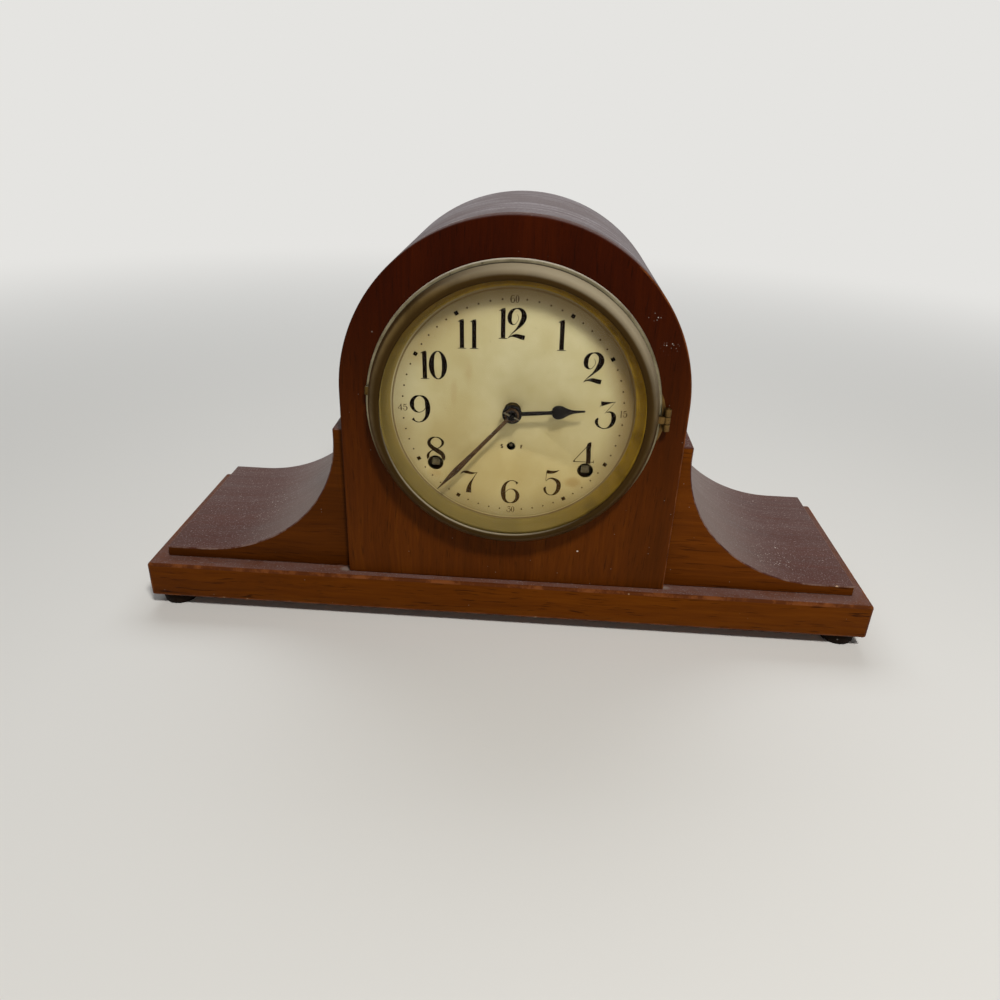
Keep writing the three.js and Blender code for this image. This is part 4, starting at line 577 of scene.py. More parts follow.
def inkFinish(name, ink, thin):  # printed marks, rubbed thin in places and browner low on the dial
    material, tree, shader = newFinish(name)
    point = objectPoint(tree)
    rubbed = patchesOf(tree, point, (700, 4, 0.7), (0.5, 0.8, 0, 0.5))
    low = spanOf(tree, axisOf(tree, point, 2), dialZ - inkLook["fadeFrom"], dialZ - inkLook["fadeTo"],
                 0, inkLook["fade"])
    colour = mixOf(tree, largerOf(tree, rubbed, low), ink, thin)
    setShader(shader, Base_Color=colour, Roughness=0.8, Specular_IOR_Level=0.05)
    addBump(tree, shader, noiseOf(tree, point, 2200, 2), 0.1, 0.02 * mm)
    return material


def glassFinish():  # clear to the lamps' rays, with a faint film and a few specks of dust
    material, tree, shader = newFinish("domed_glass")
    point = objectPoint(tree)
    film = patchesOf(tree, point, (45, 5, 0.6), (0.35, 0.75, 0.01, 0.05))
    setShader(shader, Base_Color=(1, 1, 1, 1), Roughness=film, Transmission_Weight=1.0, IOR=1.12)
    clear = addNode(tree, "BsdfTransparent")
    lampRay = addNode(tree, "LightPath").outputs["Is Shadow Ray"]
    speck = addNode(tree, "BsdfDiffuse", {"Color": rgb(196, 190, 176)})
    flecks = specksOf(tree, point, 110, 0.04, 0.88)
    dusty = addNode(tree, "MixShader", {0: flecks, 1: shader.outputs[0], 2: speck.outputs[0]})
    blendSurface(tree, lampRay, dusty.outputs[0], clear.outputs[0])
    return material


def markAt(x, y, z, wide, deep, high):  # place and half sizes of a mark, in mm
    return (x * mm, y * mm, z * mm), (wide * mm, deep * mm, high * mm)


# the front panel grows warmer and paler towards the foot, partly painted light from below
fades = {"lowTint": (2.9, 5.2, 3, 1), "fadeTop": 195 * mm, "fadeLow": 30 * mm}
chip = {"beside": 2 * mm, "size": (4 * mm, 3 * mm, 3 * mm), "tint": rgb(150, 140, 128), "share": 0.9}
plinthChips = [((side * (archRadius + chip["beside"]), caseFront + chip["beside"], caseFoot),
                chip["size"], chip["tint"], chip["share"]) for side in (-1, 1)]
panelY = caseFront / mm
panelChips = [(*markAt(38, panelY, 48.5, 0.8, 0.8, 0.7), rgb(225, 215, 200), 1)]
panelCrumbs = [markAt(63, panelY, 175.5, 7, 3, 3), markAt(73, panelY, 161.5, 5, 3, 4),
               markAt(15, panelY, 200, 4, 3, 1.5)]
wingCrumbs = [markAt(-140, 0, 36, 18, 40, 10), markAt(150, -30, 36, 30, 30, 12)]
finishes = {
    "panel": woodFinish("front_veneer", fibre=(240, 240, 13), dust=0.2, marks=panelChips, crumbs=panelCrumbs,
                        **fades),
    "wrap": woodFinish("arch_veneer", fibre=(7, 150, 9), bent=True, gloss=0.2, patch=20, dust=0.9,
                       dustTint=rgb(118, 110, 112), streaks=0.7, streakTint=rgb(176, 172, 174), grit=0.5,
                       specks=1, speckCount=420),
    "plinth": woodFinish("plinth_wood", fibre=(9, 190, 190), dark=rgb(70, 30, 1), mid=rgb(93, 45, 2),
                         light=rgb(113, 59, 6), pores=0.8, marks=plinthChips, dust=0.8,
                         dustTint=rgb(110, 85, 80), grit=0.3),
    "wingFront": woodFinish("wing_side_wood", fibre=(9, 40, 190), dark=rgb(58, 25, 1), mid=rgb(78, 37, 3),
                            light=rgb(96, 49, 8)),
    # the right wing's front: the same wood painted paler, as painted light for the brighter side
    "wingFrontPale": woodFinish("wing_side_wood_pale", fibre=(9, 40, 190), dark=rgb(72, 32, 2),
                                mid=rgb(96, 47, 5), light=rgb(118, 61, 11)),
    # the wing tops carry a painted sheen on the slant of the cove
    "wingTop": woodFinish("wing_top_wood", fibre=(9, 210, 9), dark=rgb(58, 26, 18), mid=rgb(72, 36, 27),
                          light=rgb(86, 46, 36), gloss=0.2, dust=0.35, dustTint=rgb(96, 74, 70), bloom=0.6,
                          streaks=0.1, grit=0.5, specks=1, crumbs=wingCrumbs, crumbRarity=0.82),
    "back": woodFinish("back_board_wood", fibre=(190, 190, 9), dark=rgb(58, 30, 14), mid=rgb(84, 48, 24),
                       light=rgb(108, 68, 38), roughness=(0.5, 0.7), dust=0.35),
    "foot": woodFinish("foot_wood", fibre=(60, 60, 60), dark=rgb(18, 12, 9), mid=rgb(27, 19, 14),
                       light=rgb(40, 28, 20), roughness=(0.55, 0.75), dust=0.2),
    "edge": edgeFinish("rubbed_edge", rgb(120, 68, 34), rgb(84, 42, 16)),
    "paleEdge": edgeFinish("rubbed_pale_edge", rgb(120, 96, 86), rgb(78, 44, 34)),
    "seat": brassFinish("bezel_seat_brass", clean=rgb(152, 142, 114), dull=rgb(118, 108, 82),
                        roughness=(0.36, 0.48), dust=1, dustTint=rgb(196, 188, 170)),
    "hinge": brassFinish("bezel_hinge_brass", clean=rgb(134, 104, 56), dull=rgb(98, 74, 40),
                         roughness=(0.45, 0.55)),
    # the roll's pale film faces up and to the right: dust and a painted highlight where the light falls
    "rim": brassFinish("bezel_brass", clean=rgb(106, 84, 44), dull=rgb(78, 58, 22), roughness=(0.36, 0.48),
                       patch=45, spots=0.35, turnLines=2600, dust=0.95, dustTint=rgb(164, 152, 126),
                       # the inner tint is painted shade and reflection on the roll's inward face
                       dustAlong=(0.45, 0, 0.89), inner=rgb(60, 42, 14), innerFrom=69.4 * mm, innerTo=66 * mm,
                       # the dark line at the roll's foot is grime and painted shade in the groove
                       grimeFrom=caseFront - 3.9 * mm),
    # the sight ring's olive tint is painted light towards the lower left, and the upper right stays darker
    # gold as painted shade
    "sight": brassFinish("gilt_sight_ring", clean=rgb(152, 119, 34), dull=rgb(118, 90, 20),
                         spot=rgb(70, 50, 16), roughness=(0.36, 0.48), spots=0.4, turnLines=1800,
                         aged=rgb(138, 120, 66), agedAlong=(-0.8, 0, -0.6)),
    "brass": brassFinish("movement_brass", clean=rgb(180, 152, 86), dull=rgb(152, 124, 64), patch=60,
                         spots=0.3),
    "arborBrass": brassFinish("centre_arbor_brass", clean=rgb(196, 164, 84), dull=rgb(150, 118, 54),
                              patch=110, steelAhead=caseFront - 2 * mm),
    "backBrass": brassFinish("hinge_brass", clean=rgb(150, 124, 68), dull=rgb(100, 80, 42), patch=160),
    "pinBrass": brassFinish("taper_pin_brass", clean=rgb(150, 142, 118), dull=rgb(96, 88, 70), patch=300),
    "steel": steelFinish("arbor_steel", rgb(128, 130, 134), rgb(164, 164, 166), (0.28, 0.42)),
    # arbors in the dial's holes: steel painted dark, as painted shade in the holes
    "oiledSteel": steelFinish("winding_arbor_steel", rgb(80, 70, 46), rgb(122, 110, 78), (0.5, 0.7), 0.4),
    "blackSteel": steelFinish("hand_steel", rgb(10, 8, 6), rgb(28, 22, 17), (0.45, 0.6), 0.1),
    "brownSteel": steelFinish("minute_hand_steel", rgb(52, 35, 19), rgb(88, 65, 40), (0.4, 0.55), 0.2),
    "iron": steelFinish("cast_iron", rgb(34, 33, 33), rgb(58, 54, 50), (0.55, 0.75), 0.6),
    "dial": dialFinish(),
    "ink": inkFinish("numeral_ink", rgb(12, 6, 3), rgb(66, 46, 20)),
    "brownInk": inkFinish("minute_ink", rgb(52, 32, 14), rgb(92, 70, 38)),
    "glass": glassFinish(),
}
print("finishes made:", len(finishes))


# case

plinthBoard = {"ease": 1.5 * mm, "segments": 4}


def makePlinth():
    bm = cuboid(plinthLow, plinthHigh, plinthBoard["ease"], plinthBoard["segments"], wornSlot=1)
    finishPiece("plinth_board", bm, ["plinth", "edge"], "case", "plinth")


footTurning = {"waist": 0.93, "belly": 0.45, "ease": 1.1 * mm, "sides": 48}  # shares of radius and height


def makeFoot(node):
    low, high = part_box(node)
    radius = (high.x - low.x) / 2
    tall = high.z - low.z
    waist = radius * footTurning["waist"]
    profile = [(0, 0), (waist, 0), (radius, tall * footTurning["belly"]), (waist, tall), (0, tall)]
    centre = ((low.x + high.x) / 2, (low.y + high.y) / 2, low.z)
    bm = turned(profile, centre, footTurning["sides"], "Z", closed=False)
    easeEdges(bm, footTurning["ease"], 4, least=12)
    finishPiece(node + "_turned", bm, ["foot"], "case", node)


wingShape = {"toeLength": 20 * mm, "toeHeight": 6 * mm, "shoulder": 5.9 * mm, "shoulderDrop": 5.5 * mm,
             "ease": 0.6 * mm, "coveSteps": 56}


def makeWing(node, side, front):
    low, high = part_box(node)
    inner = min(abs(low.x), abs(high.x))
    outer = max(abs(low.x), abs(high.x))
    toeTop = low.z + wingShape["toeHeight"]
    coveEnd = outer - wingShape["toeLength"]
    coveTop = high.z - wingShape["shoulderDrop"]
    wide = coveEnd - inner - wingShape["shoulder"]
    tall = coveTop - toeTop
    steps = wingShape["coveSteps"]
    turns = [math.pi / 2 * i / steps for i in range(steps + 1)]
    cove = [(coveEnd - wide * math.sin(turn), coveTop - tall * math.cos(turn)) for turn in turns]
    shoulder = [(inner + wingShape["shoulder"], high.z), (inner, high.z)]
    outline = [(inner, low.z), (outer, low.z), (outer, toeTop)] + cove + shoulder
    bm = plate([(side * x, z) for x, z in outline], [], low.y, high.y)
    for face in bm.faces:  # all but the front and the back
        if abs(face.normal.y) < 0.5:
            face.material_index = 1
    easeEdges(bm, wingShape["ease"], 3, wornSlot=2)
    finishPiece(node + "_carved", bm, [front, "wingTop", "paleEdge"], "case", node)


panelBoard = {"hole": 57.5 * mm, "ease": 0.7 * mm, "sides": 96, "wornFrom": 0.62}  # rubbed at the right only, where the worn edge also paints the glint of light on the lit side


def makePanel():
    outer = archOutline(archRadius, caseFoot, archCentre, panelBoard["sides"])
    hole = circleOutline(0, dialZ, panelBoard["hole"], panelBoard["sides"])
    bm = plate(outer, [hole], panelLow.y, panelHigh.y)
    easeEdges(bm, panelBoard["ease"], 3, wornSlot=1)
    # the worn edge stays on the right: partly wear, partly a painted glint of light
    for face in bm.faces:
        if face.calc_center_median().x < archRadius * panelBoard["wornFrom"]:
            face.material_index = 0
    finishPiece("front_panel_board", bm, ["panel", "edge"], "case", "front_panel")


archSkin = {"thickness": 7 * mm, "ease": 0.6 * mm, "sides": 96}


def makeWrap():
    bm = bmesh.new()
    half = wrapHigh.x
    outline = archOutline(half, wrapLow.z, archCentre, archSkin["sides"])[1:] + [(-half, wrapLow.z)]
    verts = [bm.verts.new((x, wrapLow.y, z)) for x, z in outline]
    edges = [bm.edges.new(pair) for pair in zip(verts, verts[1:])]
    pullBack(bm, bmesh.ops.extrude_edge_only(bm, edges=edges), wrapHigh.y - wrapLow.y)
    top = max(bm.faces, key=lambda face: face.calc_center_median().z)
    if top.normal.z < 0:
        bmesh.ops.reverse_faces(bm, faces=bm.faces[:])
    bmesh.ops.solidify(bm, geom=bm.faces[:], thickness=archSkin["thickness"])
    turnFacesOut(bm)
    easeEdges(bm, archSkin["ease"], 3, wornSlot=1)
    finishPiece("arch_skin", bm, ["wrap", "paleEdge"], "case", "arch_wrap")


makePlinth()
for foot in ("foot_front_left", "foot_front_right", "foot_back_left", "foot_back_right"):
    makeFoot(foot)
makeWing("wing_left", -1, "wingFront")
# the right wing takes the paler copy of the side wood, painted light
makeWing("wing_right", 1, "wingFrontPale")
makePanel()
makeWrap()
print("case made")


# back of the case

backBoard = {"ease": 0.6 * mm, "holeHalf": 52 * mm, "sides": 72}
backDoor = {"ease": 0.8 * mm}


def makeBack():
    low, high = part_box("back_board")
    doorLow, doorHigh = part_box("back_door")
    gap = backBoard["holeHalf"] - doorHigh.x
    spring = doorHigh.z - doorHigh.x
    sides = backBoard["sides"]
    outer = archOutline(high.x, low.z, high.z - high.x, sides)
    hole = archOutline(backBoard["holeHalf"], doorLow.z - gap, spring, sides)
    bm = plate(outer, [hole], low.y, high.y)
    easeEdges(bm, backBoard["ease"], 2, wornSlot=1)
    finishPiece("back_board_frame", bm, ["back", "edge"], "case", "back_board")
    bm = plate(archOutline(doorHigh.x, doorLow.z, spring, sides), [], doorLow.y, doorHigh.y)
    easeEdges(bm, backDoor["ease"], 3, wornSlot=1)
    finishPiece("back_door_board", bm, ["back", "edge"], "door", "back_door")


doorKnob = {"steps": 8, "sides": 40,  # shares of the radius and of the length
            "stations": [(0.8, 0), (0.45, 0.2), (0.45, 0.4), (1, 0.65), (0.72, 0.93), (0, 1)]}


def makeKnob():
    low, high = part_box("door_knob")
    radius = (high.x - low.x) / 2
    tall = high.y - low.y
    stations = [(radius * wide, tall * along) for wide, along in doorKnob["stations"]]
    profile = [(0, 0)] + splinePoints(stations, doorKnob["steps"])
    centre = ((low.x + high.x) / 2, low.y, (low.z + high.z) / 2)
    bm = turned(profile, centre, doorKnob["sides"], closed=False)
    finishPiece("door_knob_turned", bm, ["foot"], "door", "door_knob")


makeBack()
makeKnob()
print("back made")


# dial and bezel

dialTray = {"face": 0.8 * mm, "flat": 58.8 * mm, "ease": 0.15 * mm, "sides": 128, "holeSides": 48,
            "rimTop": 2.0 * mm, "rimWidth": 1.07 * mm, "rimEase": 0.3 * mm, "rimEaseAhead": 0.5 * mm,
            "handHole": 4.2 * mm, "windingHole": 4 * mm, "windingX": 38.1 * mm, "windingDrop": 30.2 * mm,
            "regulatorHole": 2.2 * mm, "regulatorDrop": 19 * mm, "regulatorSides": 32}


def makeDial():
    radius = dialHigh.x
    flat = dialTray["flat"]
    face = caseFront - dialTray["face"]
    rimTop = caseFront - dialTray["rimTop"]
    sides = dialTray["sides"]
    regulatorZ = dialZ - dialTray["regulatorDrop"]
    windingZ = dialZ - dialTray["windingDrop"]
    holes = [circleOutline(0, dialZ, dialTray["handHole"], dialTray["holeSides"]),
             circleOutline(0, regulatorZ, dialTray["regulatorHole"], dialTray["regulatorSides"])]
    for side in (-1, 1):
        x = side * dialTray["windingX"]
        holes.append(circleOutline(x, windingZ, dialTray["windingHole"], dialTray["holeSides"]))
    bm = plate(circleOutline(0, dialZ, flat, sides), holes, face, caseFront)
    easeEdges(bm, dialTray["ease"], 2, chosen=lambda e: min(v.co.y for v in e.verts) < face + hair)
    profile = [(flat, caseFront), (radius, caseFront), (radius, rimTop),
               (radius - dialTray["rimWidth"], rimTop), (flat, face)]
    rim = turned(profile, dialAxis, sides)
    easeFrom = face - dialTray["rimEaseAhead"]
    easeEdges(rim, dialTray["rimEase"], 3, chosen=lambda e: max(v.co.y for v in e.verts) < easeFrom)
    joinInto(bm, rim)
    finishPiece("dial_tray", bm, ["dial"], "case", "dial")


bezelSeat = {"inner": 62.3 * mm, "outer": 72.7 * mm, "height": 1.7 * mm, "lip": 0.5 * mm, "ease": 0.2 * mm,
             "sides": 144}


def makeSeat():
    inner, outer, lip = bezelSeat["inner"], bezelSeat["outer"], bezelSeat["lip"]
    top = caseFront - bezelSeat["height"]
    profile = [(inner, caseFront), (outer, caseFront), (outer, top + lip), (outer - lip, top), (inner, top)]
    bm = turned(profile, dialAxis, bezelSeat["sides"])
    easeEdges(bm, bezelSeat["ease"], 2, least=25)
    finishPiece("bezel_seat_ring", bm, ["seat"], "case", "bezel_seat")


bezelRim = {  # radius and height ahead of the case, in mm, over the roll and back inside it
    "outside": [(71.2, 2), (71.15, 3.6), (70.7, 5.8), (69.5, 8.5), (67.8, 10.3), (66.3, 11), (65, 10.8),
                (64.45, 10.35)],
    "inside": [(64.4, 9.8), (64.9, 9.3), (67.9, 9.1), (70.2, 5.2), (70.2, 2)],
    "outer": 71.2 * mm, "steps": 7, "sides": 160,
}
sightRing = {  # in the same way, from the flange under the glass down to the dial
    "flange": [(68.6, 5.8), (68.6, 6.7)],
    "cone": [(64.4, 6.7), (63.3, 5.5), (61.9, 4.1), (60.7, 3.2), (59.9, 2.9)],
    "inside": [(60.8, 2.9), (65.3, 5.8)],
    "steps": 5, "sides": 144, "lift": 1 * mm,  # the lip stands a little high round the dial
}


def ringProfile(stations):  # millimetres to a profile round the dial's axis
    return [(radius * mm, caseFront - height * mm) for radius, height in stations]


def makeRim():
    outside = splinePoints(bezelRim["outside"], bezelRim["steps"])
    bm = turned(ringProfile(outside + bezelRim["inside"]), dialAxis, bezelRim["sides"])
    finishPiece("bezel_roll", bm, ["rim"], "bezel", "bezel_rim", smooth=50)


def makeSight():
    cone = splinePoints(sightRing["cone"], sightRing["steps"])
    profile = ringProfile(sightRing["flange"] + cone + sightRing["inside"])
    bm = turned(profile, dialAxis, sightRing["sides"])
    lipRadius = sightRing["cone"][-1][0] * mm
    coneRadius = sightRing["cone"][0][0] * mm
    for vert in bm.verts:
        share = (coneRadius - math.hypot(vert.co.x, vert.co.z - dialZ)) / (coneRadius - lipRadius)
        vert.co.z += sightRing["lift"] * min(max(share, 0), 1)
    finishPiece("sight_ring_gilt", bm, ["sight"], "bezel", "sight_ring", smooth=50)


domedGlass = {"thick": 1.6 * mm, "steps": 20, "sides": 96}


def makeGlass():
    low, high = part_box("bezel_glass")
    radius = high.x
    thick = domedGlass["thick"]
    rise = high.y - low.y - thick
    shares = [i / domedGlass["steps"] for i in range(domedGlass["steps"] + 1)]
    front = [(radius * s, low.y + rise * s * s) for s in shares]
    back = [(radius * s, low.y + thick + rise * s * s) for s in reversed(shares)]
    bm = turned(front + back, dialAxis, domedGlass["sides"], closed=False)
    finishPiece("domed_glass", bm, ["glass"], "bezel", "bezel_glass", smooth=60)


bezelHinge = {
    "leafThickness": 1 * mm, "leafInner": 72.4 * mm, "ease": 0.25 * mm,
    "axisAhead": 3 * mm, "axisX": 75.3 * mm, "leafSteps": 6, "innerSteps": 30,
    "knuckleRadius": 1.7 * mm, "knuckleLength": 3.6 * mm, "gap": 0.3 * mm, "boreRadius": 1.1 * mm,
    "pinRadius": 0.8 * mm, "pinPlay": 0.05 * mm, "pinOver": 0.4 * mm, "pinEase": 0.3 * mm,
    "strapHalf": 1.2 * mm, "strapFrom": 0.4 * mm, "strapEase": 0.6 * mm, "clear": 0.2 * mm,
    "leafEdge": [(71.22, -13), (72.7, -10.5), (74, -6.6), (75.2, -3.2), (75.7, 0), (75.2, 3.2), (74, 6.6),
                 (72.7, 10.5), (71.22, 13)],  # x and z in mm from the dial's centre
}
hingeAxis = Vector((bezelHinge["axisX"], caseFront - bezelHinge["axisAhead"], dialZ))
bezelTab = {"width": 4.6 * mm, "reach": 1.6 * mm, "thickness": 1.9 * mm, "ahead": 2.5 * mm, "ease": 0.5 * mm,
            "turn": 6, "root": 0.6 * mm}
bezelStrap = {"root": 0.8 * mm, "ease": 0.3 * mm}  # as thick as the tab, and as far ahead
tabBack = caseFront - bezelTab["ahead"]
tabFront = tabBack - bezelTab["thickness"]


def leafOutline(shape):  # swelling outer edge, and an inner edge that follows the seat
    outside = [(x * mm, dialZ + z * mm) for x, z in splinePoints(shape["leafEdge"], shape["leafSteps"])]
    hornX, hornZ = shape["leafEdge"][-1]
    turn = math.degrees(math.atan2(hornZ, hornX))
    inside = arcPoints(0, dialZ, shape["leafInner"], turn, -turn, shape["innerSteps"])
    return outside + inside[1:-1]


def makeHinge():
    shape = bezelHinge
    bm = plate(leafOutline(shape), [], caseFront - shape["leafThickness"], caseFront)
    easeEdges(bm, shape["ease"], 2, least=50)
    side = shape["strapHalf"]
    strapTo = shape["axisAhead"] - shape["clear"]
    reach = 1.5 * shape["knuckleLength"] + shape["gap"]
    near = shape["knuckleLength"] / 2 + shape["gap"]
    parts = []
    for low, high in ((-reach, -near), (near, reach)):
        bore = shape["pinRadius"] + shape["pinPlay"]
        parts.append(barrel(shape["knuckleRadius"], bore, low, high, shape["ease"]))
        parts.append(cuboid((-side, shape["strapFrom"], low), (side, strapTo, high), shape["strapEase"], 3))
    pinEnd = reach + shape["pinOver"]
    parts.append(barrel(shape["pinRadius"], 0, -pinEnd, pinEnd, shape["pinEase"]))
    for part in parts:
        move(part, hingeAxis)
        joinInto(bm, part)
    finishPiece("bezel_hinge_leaf", bm, ["hinge"], "case", "bezel_hinge")


def makeKnuckle():  # the bezel's own knuckle, with a strap to the roll
    shape = bezelHinge
    half = shape["knuckleLength"] / 2
    bm = barrel(shape["knuckleRadius"], shape["boreRadius"], -half, half, shape["ease"])
    move(bm, hingeAxis)
    strapLow = (bezelRim["outer"] - bezelStrap["root"], tabFront, dialZ - half)
    strapHigh = (shape["axisX"] - shape["boreRadius"] - shape["clear"], tabBack, dialZ + half)
    joinInto(bm, cuboid(strapLow, strapHigh, bezelStrap["ease"]))
    finishPiece("bezel_knuckle", bm, ["hinge"], "bezel", "bezel_rim", added=True)


def makeTab():
    half = bezelTab["width"] / 2
    tabLow = (-bezelRim["outer"] - bezelTab["reach"], tabFront, dialZ - half)
    tabHigh = (-bezelRim["outer"] + bezelTab["root"], tabBack, dialZ + half)
    bm = cuboid(tabLow, tabHigh, bezelTab["ease"], 4)
    turnAbout(bm, bezelTab["turn"], dialCentre)
    finishPiece("bezel_tab", bm, ["rim"], "bezel", "bezel_rim", added=True)


screwHead = {"radius": 1.9 * mm, "slotWidth": 0.4 * mm, "slotReach": 0.9, "slotFloor": 0.2 * mm,
             "slotTop": 0.67 * mm, "slotEase": 0.03 * mm, "sides": 28,
             "dome": [(1, 0), (0.9, 0.3), (0.55, 0.55), (0, 0.65)]}  # share of the radius, height in mm


def makeScrew(place, turnDeg):  # domed head and its slot, a dark bar painted as the shade in the slot
    radius = screwHead["radius"]
    profile = [(0, 0)] + [(radius * share, height * mm) for share, height in screwHead["dome"]]
    head = turned(profile, (0, 0, 0), screwHead["sides"], closed=False)
    reach = radius * screwHead["slotReach"]
    half = screwHead["slotWidth"] / 2
    slot = cuboid((-reach, screwHead["slotFloor"], -half), (reach, screwHead["slotTop"], half),
                  screwHead["slotEase"])
    # the slot's faces take black steel: painted shade for the slot's hollow
    for face in slot.faces:
        face.material_index = 1
    joinInto(head, slot)
    turnAbout(head, turnDeg)
    move(head, place)
    return head


backHinge = {"knuckle": 1.65 * mm, "leaf": 1 * mm, "root": 2 * mm, "gap": 0.15 * mm, "ease": 0.25 * mm,
             "strapFrom": 0.3 * mm, "strapSink": 0.02 * mm, "strapEase": 0.1 * mm,
             "screwRise": 0.58, "screwTurns": (25, 95)}


def makeBackHinge(node, body, side):  # the door's leaf has the middle knuckle, the fixed one the outer two
    low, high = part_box(node)
    shape = backHinge
    middle = (low.z + high.z) / 2
    half = (high.z - low.z) / 2
    axisX = low.x + shape["knuckle"] if side > 0 else high.x - shape["knuckle"]
    plateEdge = axisX + side * shape["root"]
    tip = high.x if side > 0 else low.x
    leafTop = low.y + shape["leaf"]
    bm = cuboid((min(plateEdge, tip), low.y, low.z), (max(plateEdge, tip), leafTop, high.z), shape["ease"])
    third = half / 3
    outerFrom = third + shape["gap"]
    spans = [(-third, third)] if side > 0 else [(-half, -outerFrom), (outerFrom, half)]
    strapEnd = plateEdge + side * shape["ease"]
    for start, end in spans:
        knuckle = barrel(shape["knuckle"], 0, start, end, shape["ease"])
        move(knuckle, (axisX, high.y - shape["knuckle"], middle))
        joinInto(bm, knuckle)
        strapLow = (min(axisX, strapEnd), low.y + shape["strapFrom"], middle + start)
        strapHigh = (max(axisX, strapEnd), leafTop - shape["strapSink"], middle + end)
        joinInto(bm, cuboid(strapLow, strapHigh, shape["strapEase"]))
    for rise, turnDeg in zip((-1, 1), shape["screwTurns"]):
        screwZ = middle + rise * shape["screwRise"] * half
        joinInto(bm, makeScrew(((plateEdge + tip) / 2, leafTop, screwZ), turnDeg))
    finishPiece(node + "_folded", bm, ["backBrass", "blackSteel"], body, node)


makeDial()
makeSeat()
makeRim()
makeSight()
makeGlass()
makeHinge()
makeKnuckle()
makeTab()
for level in ("lower", "upper"):
    makeBackHinge("back_hinge_leaf_" + level, "case", -1)
    makeBackHinge("door_hinge_leaf_" + level, "door", 1)
print("dial, bezel and hinges made")


# printing on the dial: pen strokes of (x, y, half width) in a box one high

def ovalStroke(x, rise, halfWide, halfTall, thin, thick):
    turns = [math.pi / 6 * i for i in range(12)]
    return [(x + halfWide * math.cos(a), rise + halfTall * math.sin(a),
             thin + thick * abs(math.cos(a)) ** 1.5) for a in turns]


